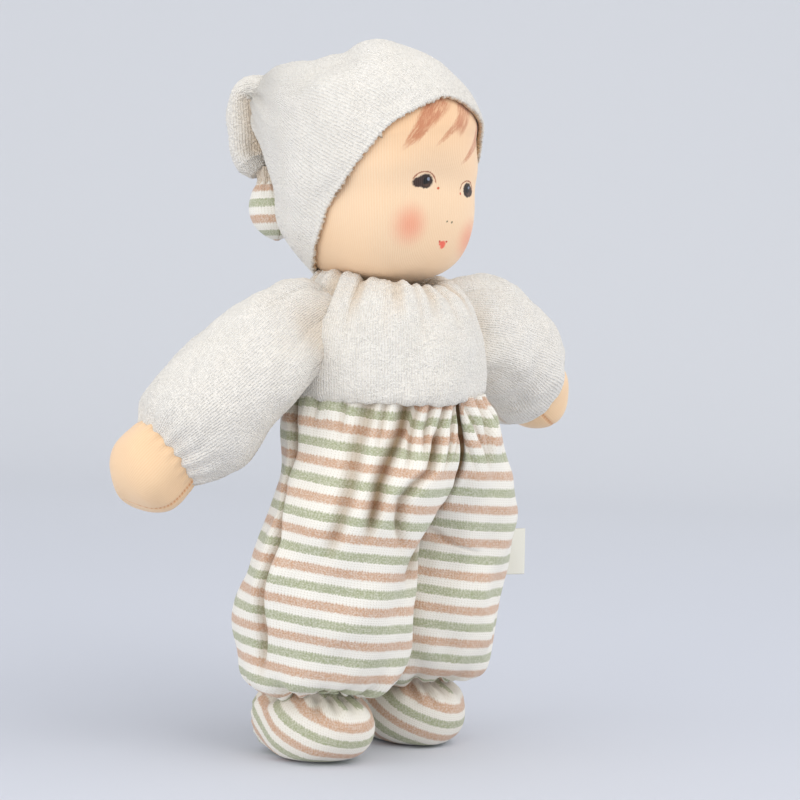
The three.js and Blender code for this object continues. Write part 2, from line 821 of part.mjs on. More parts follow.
function handRings(side) {
  return hand_shares.map(([place, width]) => {
    const r = width * hand_radius;
    return armRing(side, hand_start + place * hand_length, r, r, r, hand_sag * place);
  });
}

function handMiddle(side) {
  return new THREE.Vector3(side * (hand_start + hand_length / 3), 0, -hand_sag / 2);
}

function hand(name, side) {
  return piece(`${name}_hand`, cup(handRings(side), skin_wall, handMiddle(side)), "tricot");
}

function handCore(name, side) {
  const wool = inward(handRings(side), skin_wall + gap, handMiddle(side));
  return piece(`${name}_hand_core`, body(sparse(wool)), "wool");
}

// The tape round an armhole: a zone of a ball between the sleeve and its socket.
function shoulderTape(name, side) {
  const inner = shoulder_ball_radius + gap;
  const outer = inner + shoulder_tape_wall;
  const half = Math.asin(shoulder_tape_width / 2 / outer);
  const lean = Math.asin(shoulder_tape_depth / outer);
  const at = (radius, angle) => [radius * Math.cos(angle), side * radius * Math.sin(-angle)];
  const profile = [at(inner, lean - half), at(outer, lean - half), at(outer, lean + half),
    at(inner, lean + half)];
  const tape = hoop(profile, 24).rotateY(Math.PI / 2);
  const pivot = shoulderPivot(side);
  return piece(`${name}_shoulder_tape`, tape.translate(pivot.x, pivot.y, pivot.z), "thread");
}

function arm(name, side, droop, sweep) {
  const group = new THREE.Group();
  group.position.copy(shoulderPivot(side));
  group.rotation.set(0, side * droop, side * sweep, "ZYX");
  group.add(sleeve(name, side), armCore(name, side), wristThread(name, side));
  group.add(hand(name, side), handCore(name, side));
  return group;
}

function leg(name, side) {
  const group = new THREE.Group();
  group.rotation.z = trouser_twist;
  group.add(trouserHalf(name, side), legCore(name, side));
  group.add(boot(name, side), bootCore(name, side), ankleThread(name, side));
  return group;
}

// The folded ribbon in the left side seam: a loop of one ply, standing out of the leg.
function label() {
  const z = between(trouser_foot, trouser_top, label_level_share);
  const section = sectionAt(z);
  const half = label_loop / 2;
  const ribbon = new THREE.Shape();
  ribbon.moveTo(0, half);
  ribbon.lineTo(label_reach - half, half);
  ribbon.absarc(label_reach - half, 0, half, Math.PI / 2, -Math.PI / 2, true);
  ribbon.lineTo(0, -half);
  ribbon.lineTo(0, -half + label_ply);
  ribbon.lineTo(label_reach - half, -half + label_ply);
  ribbon.absarc(label_reach - half, 0, half - label_ply, -Math.PI / 2, Math.PI / 2, false);
  ribbon.lineTo(0, half - label_ply);
  const loop = new THREE.ExtrudeGeometry(ribbon, {
    depth: label_height, bevelEnabled: false, curveSegments: 6,
  });
  const group = new THREE.Group();
  group.rotation.z = trouser_twist;
  const mesh = piece("label", loop, "ribbon");
  const clear = gap + label_loop;
  const x = section.x + (section.half_width + clear) * Math.cos(label_seat);
  const y = section.y + (section.front + clear) * Math.sin(label_seat);
  mesh.position.set(x, y, z - label_height / 2);
  mesh.rotation.z = label_turn;
  return group.add(mesh);
}

const doll = new THREE.Group();
doll.add(trunkCore(), shirt(), collar(), waistTape());
doll.add(neckBinding());
[headCore(), headSkin(), capHood(), capTail(), capTie(), capTip()].forEach((part) => {
  leaned(part.geometry);
  doll.add(part);
});
doll.add(shoulderTape("right", sides.right), shoulderTape("left", sides.left));
doll.add(arm("right", sides.right, right_arm_droop, right_arm_sweep_back));
doll.add(arm("left", sides.left, left_arm_droop, left_arm_sweep_back));
doll.add(leg("right", sides.right), leg("left", sides.left), label());

// Stand the doll on the floor, with the middle of its box over the origin.
doll.updateMatrixWorld(true);
const whole = new THREE.Box3().setFromObject(doll, true);
const centre = whole.getCenter(new THREE.Vector3());
doll.position.set(-centre.x, -centre.y, -whole.min.z);

const model = new THREE.Group();
model.add(doll);

export default model;
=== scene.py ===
"""A stuffed cloth doll in a terry shirt and cap and striped knit trousers, on a pale floor."""

import math

import bmesh
import bpy
import numpy as np
from mathutils import Matrix, Vector


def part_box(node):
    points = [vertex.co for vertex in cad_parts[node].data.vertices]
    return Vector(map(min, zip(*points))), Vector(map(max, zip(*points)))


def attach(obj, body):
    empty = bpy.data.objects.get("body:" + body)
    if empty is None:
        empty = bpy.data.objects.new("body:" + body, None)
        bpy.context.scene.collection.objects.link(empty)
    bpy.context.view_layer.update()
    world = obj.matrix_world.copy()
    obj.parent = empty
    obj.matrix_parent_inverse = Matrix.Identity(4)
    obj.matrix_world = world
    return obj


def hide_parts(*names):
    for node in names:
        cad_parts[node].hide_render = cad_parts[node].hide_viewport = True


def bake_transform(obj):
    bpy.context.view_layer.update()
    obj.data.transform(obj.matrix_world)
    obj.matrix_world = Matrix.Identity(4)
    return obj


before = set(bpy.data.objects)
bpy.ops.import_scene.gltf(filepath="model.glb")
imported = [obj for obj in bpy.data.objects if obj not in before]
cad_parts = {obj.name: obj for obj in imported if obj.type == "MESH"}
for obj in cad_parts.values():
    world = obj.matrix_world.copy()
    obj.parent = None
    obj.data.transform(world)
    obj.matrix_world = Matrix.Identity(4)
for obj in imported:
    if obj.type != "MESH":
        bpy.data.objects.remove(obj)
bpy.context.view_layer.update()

# Shapes are worked out in millimetres round the doll's middle line: x 0 and y 0 are the
# middle of the tied neck and z 0 is the floor. placed() turns them into the frame's metres.
MM_PER_M = 1000
NECK_LOW, NECK_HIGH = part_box("neck_binding")
ORIGIN = np.array([(NECK_LOW.x + NECK_HIGH.x) / 2, (NECK_LOW.y + NECK_HIGH.y) / 2, 0.0]) * MM_PER_M
NECK_Z = NECK_LOW.z * MM_PER_M
UP = np.array([0.0, 0.0, 1.0])
# The legs are turned a little on the body, and the head leans towards the cap's peak.
TWIST = math.radians(9)
LEAN, LEAN_HEADING = math.radians(3.8), math.radians(51)


def placed(points):
    """Millimetres round the middle line to metres in the frame."""
    return (np.asarray(points, float) + ORIGIN) / MM_PER_M


# Small maths


def smooth(low, high, x):
    """0 up to low, 1 from high, and t^2 (3 - 2t) between."""
    t = np.clip((np.asarray(x, float) - low) / (high - low), 0, 1)
    return t * t * (3 - 2 * t)


def mix(a, b, t):
    """a where t is 0 and b where it is 1, in a straight line between."""
    return a + (b - a) * t


def bump(x, middle, width):
    """A bell: exp(-((x - middle) / width)^2)."""
    return np.exp(-(((np.asarray(x, float) - middle) / width) ** 2))


def along(table, x):
    """A smooth curve through a table's rows (place, values...), by cubic steps whose slope
    at a row is the chord between its neighbours. Gives one array per value column."""
    table = np.asarray(table, float)
    x = np.clip(np.asarray(x, float), table[0, 0], table[-1, 0])
    at = np.clip(np.searchsorted(table[:, 0], x, side="right") - 1, 0, len(table) - 2)
    row = np.arange(len(table))
    before, after = np.maximum(row - 1, 0), np.minimum(row + 1, len(table) - 1)
    slope = (table[after] - table[before]) / (table[after, :1] - table[before, :1])
    span = table[at + 1, 0] - table[at, 0]
    t = (x - table[at, 0]) / span
    out = []
    for c in range(1, table.shape[1]):
        a, b = table[at, c], table[at + 1, c]
        m, n = slope[at, c] * span, slope[at + 1, c] * span
        out.append((2 * t**3 - 3 * t**2 + 1) * a + (t**3 - 2 * t**2 + t) * m
                   + (3 * t**2 - 2 * t**3) * b + (t**3 - t**2) * n)
    return out


def noise(points, size, seed):
    """Smooth noise of about unit height: a sum of sines along fixed random directions, each
    with a wavelength near size."""
    waves = 20
    rng = np.random.default_rng(seed)
    way = rng.normal(size=(waves, 3))
    length = np.linalg.norm(way, axis=1, keepdims=True)
    way *= (2 * np.pi / size * rng.uniform(0.6, 1.5, (waves, 1))) / length
    return np.sin(np.asarray(points) @ way.T + rng.uniform(0, 7, waves)).sum(-1) / math.sqrt(waves / 2)


def outward(rows):
    """Unit normals of a closed grid of points, from the cross product of its two directions,
    all turned round where they point to the grid's middle."""
    up = np.gradient(rows, axis=0)
    on = np.roll(rows, -1, axis=1) - np.roll(rows, 1, axis=1)
    n = np.cross(on, up)
    n = n / np.maximum(np.linalg.norm(n, axis=-1, keepdims=True), 1e-9)
    return n if ((rows - rows.mean((0, 1))) * n).sum() > 0 else -n


def circle(count):
    """Evenly spaced angles once round, as one row."""
    return np.linspace(0, 2 * np.pi, count, endpoint=False)[None, :]


def level_rings(line, turn, radius):
    """Level circles round the points of a line."""
    return line[:, None] + np.stack([np.cos(turn), np.sin(turn), 0 * turn], -1) * radius[..., None]


def angle_from(turn, middle):
    """The angle from middle to turn, between -pi and pi."""
    return (turn - middle + np.pi) % (2 * np.pi) - np.pi


def turned_z(points, angle):
    """Points turned about the upright axis by an angle."""
    c, s = math.cos(angle), math.sin(angle)
    return points @ np.array([[c, s, 0], [-s, c, 0], [0, 0, 1]])


def leaned(points):
    """The head leans over the neck, about a level axis: Rodrigues' rotation, v cos a +
    (k x v) sin a + k (k.v) (1 - cos a)."""
    neck = UP * NECK_Z
    k = np.array([-math.cos(LEAN_HEADING), -math.sin(LEAN_HEADING), 0.0])
    v = np.asarray(points, float) - neck
    level = (v @ k)[..., None] * k * (1 - math.cos(LEAN))
    return neck + v * math.cos(LEAN) + np.cross(k, v) * math.sin(LEAN) + level


# Meshes


def add_object(name, data):
    """A new object in the scene, which shows a mesh, a light or a camera's view."""
    made = bpy.data.objects.new(name, data)
    bpy.context.scene.collection.objects.link(made)
    return made


def surface(name, rows, uv, material, body, replaced, ends=(True, True), painted_shade=None):
    """A mesh over a closed grid of points (rows, around, 3), with a UV map in metres of cloth
    and its end rings closed. Where the volume it encloses, the sum of a . (b x c) / 6 over its
    triangles, comes out negative, its faces are turned round, so that they point outwards. It
    takes the place of the named solids and rides on a body."""
    n, m = rows.shape[:2]
    verts = list(placed(rows).reshape(-1, 3))
    i, j = np.meshgrid(np.arange(n - 1), np.arange(m), indexing="ij")
    k = (j + 1) % m
    quads = np.stack([i * m + j, i * m + k, (i + 1) * m + k, (i + 1) * m + j], -1).reshape(-1, 4)
    corner = np.stack([uv[i, j], uv[i, j + 1], uv[i + 1, j + 1], uv[i + 1, j]], -2).reshape(-1, 2)
    faces = quads.tolist()
    corners = [corner]
    for end, shut in ((0, ends[0]), (n - 1, ends[1])):
        if not shut:
            continue
        verts.append(placed(rows[end].mean(0)))
        middle = len(verts) - 1
        order = 1 if end == 0 else -1
        for j0 in range(m):
            pair = [end * m + (j0 + 1) % m, end * m + j0]
            near = [uv[end, j0 + 1], uv[end, j0]]
            faces.append([middle] + pair[::order])
            corners.append(np.array([uv[end].mean(0)] + near[::order]))
    mesh = bpy.data.meshes.new(name)
    mesh.from_pydata([tuple(v) for v in verts], [], faces)
    cloth = mesh.uv_layers.new(name="cloth")
    cloth.data.foreach_set("uv", np.concatenate(corners).astype(np.float32).ravel())
    # Per point, how much painted shade the material lays on; none on the end caps.
    shade = np.zeros(len(verts), np.float32)
    if painted_shade is not None:
        shade[:n * m] = np.broadcast_to(painted_shade, (n, m)).reshape(-1)
    mesh.attributes.new("painted_shade", "FLOAT", "POINT").data.foreach_set("value", shade)
    out = rows.reshape(-1, 3) - rows.mean((0, 1))
    a, b, c, d = (out[quads[:, q]] for q in range(4))
    if (np.cross(a, b) * c).sum() + (np.cross(a, c) * d).sum() < 0:
        mesh.flip_normals()
    mesh.polygons.foreach_set("use_smooth", [True] * len(mesh.polygons))
    mesh.materials.append(material)
    made = add_object(name, mesh)
    if body:
        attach(made, body)
    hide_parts(*replaced)
    return made


def arc_uv(rows):
    """UV in metres: u is the length round the mean ring, v the mean length along the grid."""
    around = np.linalg.norm(np.roll(rows, -1, axis=1) - rows, axis=-1).mean(0)
    u = np.concatenate([[0], np.cumsum(around)]) / MM_PER_M
    step = np.linalg.norm(np.diff(rows, axis=0), axis=-1).mean(1)
    v = np.concatenate([[0], np.cumsum(step)]) / MM_PER_M
    return np.stack(np.broadcast_arrays(u[None, :], v[:, None]), -1)


def even_uv(width, v, around):
    """UV in metres: u runs evenly over a width once round, and v is as given."""
    if v.shape[1] > 1:
        v = np.concatenate([v, v[:, :1]], 1)
    return np.stack(np.broadcast_arrays(np.linspace(0, width, around + 1)[None, :], v), -1)


# Metres of cloth once round the head, a hand, a leg and a boot.
ROUND_HEAD, ROUND_HAND, ROUND_LEG, ROUND_BOOT = 2 * math.pi * 0.038, 0.112, 0.2, 0.155

# Materials

# Paint lies on the front of the cloth, more than this many metres before the middle line.
PAINT_BEFORE = 0.008


def linear(text):
    """An sRGB hex colour as linear RGBA: c / 12.92 below 0.04045, else ((c + 0.055) / 1.055)^2.4."""
    c = np.array([int(text[i:i + 2], 16) for i in (0, 2, 4)]) / 255
    c = np.where(c <= 0.04045, c / 12.92, ((c + 0.055) / 1.055) ** 2.4)
    return (*c.tolist(), 1.0)


class Shader:
    """A material under construction. add() makes a node and join() feeds one of its inputs
    with a value or another node's output. The rest give the output of one common node."""

    def __init__(self, name, roughness=0.9, sheen=0.0):
        self.material = bpy.data.materials.new(name)
        self.material.use_nodes = True
        self.tree = self.material.node_tree
        self.shader = self.tree.nodes["Principled BSDF"]
        self.shader.inputs["Roughness"].default_value = roughness
        self.shader.inputs["Specular IOR Level"].default_value = 0.25
        self.shader.inputs["Sheen Weight"].default_value = sheen
        self.shader.inputs["Sheen Roughness"].default_value = 0.5
        self.uv = self.add("ShaderNodeUVMap", uv_map="cloth").outputs[0]
        self.place = self.add("ShaderNodeTexCoord").outputs["Object"]

    def add(self, kind, inputs=None, **settings):
        made = self.tree.nodes.new(kind)
        for key, value in settings.items():
            setattr(made, key, value)
        for key, value in (inputs or {}).items():
            self.join(made.inputs[key], value)
        return made

    def join(self, socket, value):
        if isinstance(value, bpy.types.NodeSocket):
            self.tree.links.new(value, socket)
        else:
            socket.default_value = value

    def sum(self, op, a, b=0.0, c=0.0, clamp=False):
        return self.add("ShaderNodeMath", {0: a, 1: b, 2: c}, operation=op, use_clamp=clamp).outputs[0]

    def split(self, vector):
        return self.add("ShaderNodeSeparateXYZ", {0: vector}).outputs

    def noise(self, scale, detail=2.0, vector=None, rough=0.5):
        made = self.add("ShaderNodeTexNoise", {
            "Vector": vector or self.place, "Scale": scale, "Detail": detail, "Roughness": rough})
        return made.outputs["Fac"]

    def blend(self, share, a, b, mode="MIX"):
        made = self.add("ShaderNodeMix", data_type="RGBA", blend_type=mode)
        # Inputs 6 and 7 are the two colours.
        for socket, value in ((made.inputs["Factor"], share), (made.inputs[6], a), (made.inputs[7], b)):
            self.join(socket, value)
        return made.outputs[2]

    def step(self, value, low, high, to_low=0.0, to_high=1.0):
        return self.add("ShaderNodeMapRange", {
            "Value": value, "From Min": low, "From Max": high, "To Min": to_low, "To Max": to_high},
            interpolation_type="SMOOTHSTEP").outputs[0]

    def finish(self, colour, height=None, distance=0.0003, strength=1.0):
        self.join(self.shader.inputs["Base Color"], colour)
        if height is not None:
            made = self.add("ShaderNodeBump", {
                "Height": height, "Distance": distance, "Strength": strength})
            self.join(self.shader.inputs["Normal"], made.outputs[0])
        return self.material


def lay_painted_shade(s, colour, warm):
    """Painted shade: warmer and darker where the mesh says that the cloth lies in shade, deep in folds."""
    painted_shade = s.add("ShaderNodeAttribute", attribute_name="painted_shade").outputs["Fac"]
    return s.blend(s.sum("MULTIPLY", painted_shade, 1.0, clamp=True), colour, warm, "MULTIPLY")


# Spacing of the cloths' ribs, columns and courses in metres. The real ones are near 0.7 mm,
# too fine to show in the render, so they are drawn up to 1.6 times as coarse.
RIB, COLUMN, COURSE = 0.00105, 0.00115, 0.00095
# Green to green, across one green, one tan and two white stripes.
STRIPE = 0.0142


def ribs(s, sway):
    """cos(2 pi u / RIB) from 0 to 1 across the cloth's ribs, which sway as noise does."""
    u = s.split(s.uv)[0]
    u = s.sum("ADD", u, s.sum("MULTIPLY", s.sum("SUBTRACT", s.noise(90.0), 0.5), sway))
    wave = s.sum("COSINE", s.sum("MULTIPLY", u, 2 * math.pi / RIB))
    return s.sum("MULTIPLY_ADD", wave, 0.5, 0.5)


def terry(name, base="fbf9f4", shade="e8e0d2"):
    """Looped cotton terry: loops of 0.8 mm in wavering columns. It gives the eye a soft, matt,
    slightly mottled white, with painted shade: lighter on the loops' tops, darker between them."""
    s = Shader(name, 0.95, 0.25)
    rib = ribs(s, 0.0011)
    cells = s.add("ShaderNodeTexVoronoi", {"Vector": s.place, "Scale": 1250.0}, feature="F1")
    loop = s.step(cells.outputs["Distance"], 0.1, 0.75, 1.0, 0.0)
    grain = s.sum("MULTIPLY", s.noise(2600.0, 1.0), 0.3)
    height = s.sum("ADD", s.sum("MULTIPLY", rib, 0.4), s.sum("ADD", s.sum("MULTIPLY", loop, 0.4), grain))
    cloudy = s.sum("MULTIPLY", s.noise(60.0, 3.0), 0.35)
    # Painted shade: the colour follows the loops' height, darker low down; the clouds are random tone.
    tone = s.sum("MULTIPLY_ADD", height, 0.6, cloudy, clamp=True)
    colour = s.blend(tone, linear(shade), linear(base))
    return s.finish(lay_painted_shade(s, colour, linear("e3c59c")), height, 0.0009, 0.8)


def knit(name, shift=0.0):
    """Yarn-dyed jersey: green, white, tan, white along v, with edges that step from stitch to
    stitch and stitches as V shapes, |sin| across a column leaning along it. It gives the eye
    matt stripes with a fuzzy, speckled edge."""
    s = Shader(name, 0.9, 0.25)
    u, v, _ = s.split(s.uv)
    across = s.sum("PINGPONG", s.sum("DIVIDE", u, COLUMN), 0.5)
    fuzz = s.sum("MULTIPLY", s.sum("SUBTRACT", s.noise(900.0, 2.0), 0.5), 0.0011)
    stepped = s.sum("ADD", s.sum("MULTIPLY_ADD", across, 0.0008, v), s.sum("ADD", fuzz, shift))
    phase = s.sum("FRACT", s.sum("DIVIDE", stepped, STRIPE))
    ramp = s.add("ShaderNodeValToRGB", {"Fac": phase})
    green, white, tan = linear("afb492"), linear("f6f2e8"), linear("d2ab8e")
    stops = [(0.0, green), (0.225, green), (0.28, white), (0.47, white),
             (0.525, tan), (0.725, tan), (0.78, white), (0.97, white)]
    bar = ramp.color_ramp
    while len(bar.elements) < len(stops):
        bar.elements.new(0.5)
    for stop, (at, colour) in zip(bar.elements, stops):
        stop.position, stop.color = at, colour
    v_shape = s.sum("MULTIPLY_ADD", across, 1.1, s.sum("DIVIDE", v, COURSE))
    stitch = s.sum("MULTIPLY_ADD", s.sum("COSINE", s.sum("MULTIPLY", v_shape, 2 * math.pi)), 0.5, 0.5)
    groove = s.sum("MULTIPLY", s.step(across, 0.0, 0.2), 0.4)
    grain = s.sum("MULTIPLY", s.noise(1800.0, 1.0), 0.3)
    height = s.sum("ADD", s.sum("MULTIPLY", stitch, 0.45), s.sum("ADD", groove, grain))
    speck = s.step(s.noise(1400.0, 2.0), 0.35, 0.7)
    colour = s.blend(s.sum("MULTIPLY", speck, 0.4), ramp.outputs[0], linear("f8f5ec"))
    # Painted shade: darker where the stitches and the grooves between columns dip.
    colour = s.blend(s.step(height, 0.1, 0.75, 0.42, 0.0), colour, linear("cfc2aa"), "MULTIPLY")
    return s.finish(lay_painted_shade(s, colour, linear("a58a68")), height, 0.0003, 0.55)


class Tricot(Shader):
    """Cotton tricot with fine upright ribs, on which dabs of paint can be laid. It gives the
    eye an even, matt peach skin."""

    def __init__(self, name, base="fbe2c3", warm="f4cb9f"):
        super().__init__(name, 0.8, 0.3)
        grain = self.sum("MULTIPLY", self.noise(2200.0, 1.0), 0.35)
        self.height = self.sum("ADD", self.sum("MULTIPLY", ribs(self, 0.0003), 0.6), grain)
        cloudy = self.sum("MULTIPLY", self.noise(25.0, 2.0), 0.5)
        # Random clouds of tone, and painted shade: warmer and darker in the valleys between the ribs.
        tone = self.sum("MULTIPLY_ADD", self.height, 0.5, cloudy, clamp=True)
        self.colour = self.blend(tone, linear(warm), linear(base))
        x, y, z = self.split(self.place)
        self.front = self.sum("LESS_THAN", y, ORIGIN[1] / MM_PER_M - PAINT_BEFORE)
        # Paint is laid on x and z alone, moved about by fine noise, which frays its edges.
        fray = self.add("ShaderNodeTexNoise", {"Vector": self.place, "Scale": 900.0, "Detail": 1.0})
        fray = self.vector("SUBTRACT", {0: fray.outputs["Color"], 1: (0.5, 0.5, 0.5)})
        fray = self.vector("SCALE", {0: fray, "Scale": 0.0009})
        flat = self.add("ShaderNodeCombineXYZ", {0: x, 1: z, 2: 0.0}).outputs[0]
        self.canvas = self.vector("ADD", {0: flat, 1: fray})

    def vector(self, op, inputs):
        return self.add("ShaderNodeVectorMath", inputs, operation=op).outputs[0]

    def local(self, x, z, angle, scale=(1.0, 1.0, 1.0)):
        """The canvas seen from a place on the face, turned by an angle and scaled."""
        put = self.add("ShaderNodeMapping", {
            "Vector": self.canvas, "Location": ((x + ORIGIN[0]) / MM_PER_M, z / MM_PER_M, 0.0),
            "Rotation": (0.0, 0.0, angle), "Scale": scale}, vector_type="TEXTURE")
        return self.split(put.outputs[0])

    def reach(self, x, z, rx, rz, angle):
        """Distance from a dab's middle as a share of its oval, seen from the front."""
        flat = self.local(x, z, math.radians(angle), (rx / MM_PER_M, rz / MM_PER_M, 1.0))
        square = self.sum("ADD", self.sum("POWER", flat[0], 2.0), self.sum("POWER", flat[1], 2.0))
        return self.sum("SQRT", square), flat

    def dab(self, x, z, rx, rz, colour, soft=0.2, angle=0.0, strength=1.0):
        away, _ = self.reach(x, z, rx, rz, angle)
        self.lay(self.step(away, 1 - soft, 1 + soft / 3, strength, 0.0), colour)

    def arc(self, x, z, rx, rz, colour, width, from_z, angle, strength):
        """The part of an oval's outline above from_z, as a share of its height."""
        away, flat = self.reach(x, z, rx, rz, angle)
        line = self.sum("ABSOLUTE", self.sum("SUBTRACT", away, 1.0))
        above = self.step(flat[1], from_z - 0.12, from_z + 0.12)
        self.lay(self.sum("MULTIPLY", self.step(line, 0.0, width, strength, 0.0), above), colour)

    def stroke(self, start, end, wide, narrow, colour, strength):
        """A brush stroke that tapers from start to end, broken up by streaks along it."""
        (x, z), (to_x, to_z) = start, end
        length = math.hypot(to_x - x, to_z - z) / MM_PER_M
        u, v, _ = self.local(x, z, math.atan2(to_z - z, to_x - x))
        u = self.sum("DIVIDE", u, length)
        half = self.sum("MULTIPLY_ADD", u, (narrow - wide) / MM_PER_M, wide / MM_PER_M)
        half = self.sum("MAXIMUM", half, 0.0001)
        share = self.step(self.sum("DIVIDE", self.sum("ABSOLUTE", v), half), 0.6, 1.1, strength, 0.0)
        ends = self.sum("MULTIPLY", self.step(u, -0.1, 0.06), self.step(u, 0.75, 1.05, 1.0, 0.0))
        share = self.sum("MULTIPLY", share, ends)
        stretched = self.add("ShaderNodeCombineXYZ", {
            0: self.sum("MULTIPLY", u, length * 160), 1: self.sum("MULTIPLY", v, 1100.0)})
        streak = self.step(self.noise(1.0, 3.0, stretched.outputs[0], 0.65), 0.36, 0.58, 0.4, 1.0)
        self.lay(self.sum("MULTIPLY", share, streak), colour)

    def lay(self, share, colour):
        """Paint on the front of the cloth, where share is 1."""
        share = self.sum("MULTIPLY", share, self.front)
        self.colour = self.blend(share, self.colour, linear(colour))

    def done(self):
        return self.finish(lay_painted_shade(self, self.colour, linear("d99f68")), self.height, 0.00022, 0.45)


def ribbon_material():
    """Woven polyester ribbon: plain weave of 0.5 mm threads, sin u times sin v. It gives the eye
    a smooth, pale band."""
    s = Shader("ribbon_weave", 0.75, 0.1)
    u, v, _ = s.split(s.uv)
    warp = s.sum("SINE", s.sum("MULTIPLY", u, 2 * math.pi / 0.0005))
    weft = s.sum("SINE", s.sum("MULTIPLY", v, 2 * math.pi / 0.0006))
    height = s.sum("MULTIPLY_ADD", s.sum("MULTIPLY", warp, weft), 0.5, 0.5)
    colour = s.blend(s.sum("MULTIPLY", height, 0.4), linear("eceade"), linear("d8d5c6"))
    return s.finish(colour, height, 0.0001, 0.5)


def wool_material():
    """Carded wool for the stuffing: matt, with fibres in all directions. It gives the eye a
    cloudy cream."""
    s = Shader("carded_wool", 1.0, 0.3)
    fibres = s.noise(700.0, 4.0)
    colour = s.blend(fibres, linear("dccfae"), linear("f4ecd8"))
    return s.finish(colour, fibres, 0.0006, 0.8)


def thread_material():
    """Cotton thread and tape: ridges 2 pi / (20 x 900) m, 0.35 mm, apart. They give the eye a
    fine, pale grain."""
    s = Shader("cotton_thread", 0.8, 0.1)
    twist = s.add("ShaderNodeTexWave", {"Vector": s.place, "Scale": 900.0, "Distortion": 1.0})
    twist = twist.outputs["Fac"]
    colour = s.blend(twist, linear("cfc4ac"), linear("efe8d8"))
    return s.finish(colour, twist, 0.0002, 0.6)


def paint_face():
    """Eyes, nose dots, mouth, cheeks and a few hair strokes, in watery paint. Places and sizes
    are in millimetres, as seen from the front."""
    s = Tricot("painted_tricot")
    height = s.split(s.place)[2]
    # Painted shade: warmer, darker cloth at the chin and, more so, under the cap's edge, by the height in
    # metres.
    s.colour = s.blend(s.step(height, 0.195, 0.235, 0.15, 0.0), s.colour, linear("efc08c"))
    s.colour = s.blend(s.step(height, 0.236, 0.262, 0.0, 0.45), s.colour, linear("eebb88"))
    # Cheeks.
    for x, z in ((-13.6, 218.2), (21.4, 213.8)):
        s.dab(x, z, 8.6, 8.8, "f08a6c", soft=0.92, strength=0.62)
    hair = "c98561"
    for start, end, wide, narrow, strength in (
            ((-1.5, 270.5), (-20.6, 247.0), 7.0, 0.8, 0.95),
            ((-7.5, 264.0), (-15.5, 249.5), 3.4, 0.8, 0.6),
            ((13.5, 268.5), (6.5, 255.0), 5.6, 2.6, 0.85), ((8.0, 261.0), (-5.6, 249.8), 2.6, 0.4, 0.75),
            ((26.5, 264.0), (22.0, 251.5), 3.6, 2.2, 0.85), ((22.5, 254.0), (9.5, 243.4), 2.6, 0.5, 0.8)):
        s.stroke(start, end, wide, narrow, hair, strength)
    # Eyes, the left one narrower: white, iris, outer corner, brown glow, pupil, painted highlight and lid.
    for x, z, side, wide in ((-8.0, 235.7, -1, 1.0), (15.9, 233.6, 1, 0.72)):
        s.dab(x, z, 5.7 * wide, 3.3, "fbe6cb", soft=0.35, angle=side * 4, strength=0.35)
        s.dab(x + 0.5 * wide, z + 0.1, 4.1 * wide, 3.1, "30221c", soft=0.2)
        s.dab(x + side * 2.7 * wide, z - 0.35, 3.6 * wide, 2.3, "3d2b24", soft=0.25, angle=side * -12)
        s.dab(x + 1.4 * wide, z - 1.3, 2.2 * wide, 1.0, "6a4a38", soft=0.8, strength=0.5)
        s.dab(x + 0.6 * wide, z + 0.2, 1.7 * wide, 1.7, "0e0b0c", soft=0.35)
        # A painted highlight: a pale blue-grey glint.
        s.dab(x + 1.9 * wide, z + 1.1, 0.8 * wide, 0.7, "9aa2b4", soft=0.6, strength=0.75)
        s.arc(x, z - 1.0, 6.2 * wide, 4.8, "9c5236", width=0.1, from_z=0.25, angle=side * 3, strength=0.95)
    # Inner corners of the eyes, nostrils, mouth and its two upper points.
    for x, z, rx, rz, colour, soft in (
            (-0.5, 233.3, 0.6, 0.7, "cf5a32", 0.5), (11.8, 232.1, 0.5, 0.7, "cf5a32", 0.5),
            (5.2, 220.5, 0.55, 0.5, "6f6a4c", 0.5), (7.9, 220.2, 0.55, 0.5, "6f6a4c", 0.5),
            (4.8, 211.4, 2.0, 1.2, "f2705a", 0.35), (5.2, 210.4, 1.3, 1.2, "f2705a", 0.45),
            (3.0, 212.2, 0.55, 0.5, "c9402a", 0.5), (6.8, 212.3, 0.5, 0.5, "c9402a", 0.5)):
        s.dab(x, z, rx, rz, colour, soft=soft)
    return s.done()


# Head and cap

# The middle of the head, and its reach from there in each direction, in millimetres.
HEAD = UP * 250.0
HALF_WIDTH, FRONT, BACK, RISE, DROP = 39.5, 39.0, 41.0, 44.0, 56.0
# The cap's peak and the lower end of its ridge, from the head's middle.
PEAK = np.array([-24.0, 47.0, 26.0])
RIDGE_FOOT = np.array([-18.5, 36.5, -5.0])
RIDGE_RADIUS, RIDGE_PAST_PEAK = 3.0, 3.2
# The crown is free of the ridge's pull above this height.
SADDLE = 36.0
PEAK_WAY = PEAK / np.linalg.norm(PEAK)
FOLD_OUT = PEAK_WAY * [1, 1, 0] / math.hypot(PEAK_WAY[0], PEAK_WAY[1])
FOLD_AXIS = np.cross(FOLD_OUT, UP)
FOLD_MIDDLE = HEAD + PEAK + FOLD_OUT * 3.5 + UP
# The cap's opening is turned round the head, and its cloth is as thick as CLOTH.
CAP_TURN = math.radians(7)
CLOTH = 1.9
# How the pulled cap's outline departs from the round crown, seen along SIGHT: the angle from
# the doll's left, in degrees, and the change in millimetres.
SIGHT = np.array([-0.626, -0.778, 0.052])
SIGHT_LEFT, SIGHT_UP = np.array([0.78, -0.627, -0.02]), np.array([0.045, 0.025, 1.0])
DENT_WAY, DENT = np.array([-0.59, -0.03, 0.805]), 3.2
CROWN = [
    (5, 0), (14, 1.2), (30, 0), (46, -2.6), (62, -4.0), (78, -2.5), (90, -0.6), (100, -2.2), (110, -4.2),
    (122, -1.4), (134, 1.5), (142, 1.5), (150, 0), (160, 0),
]


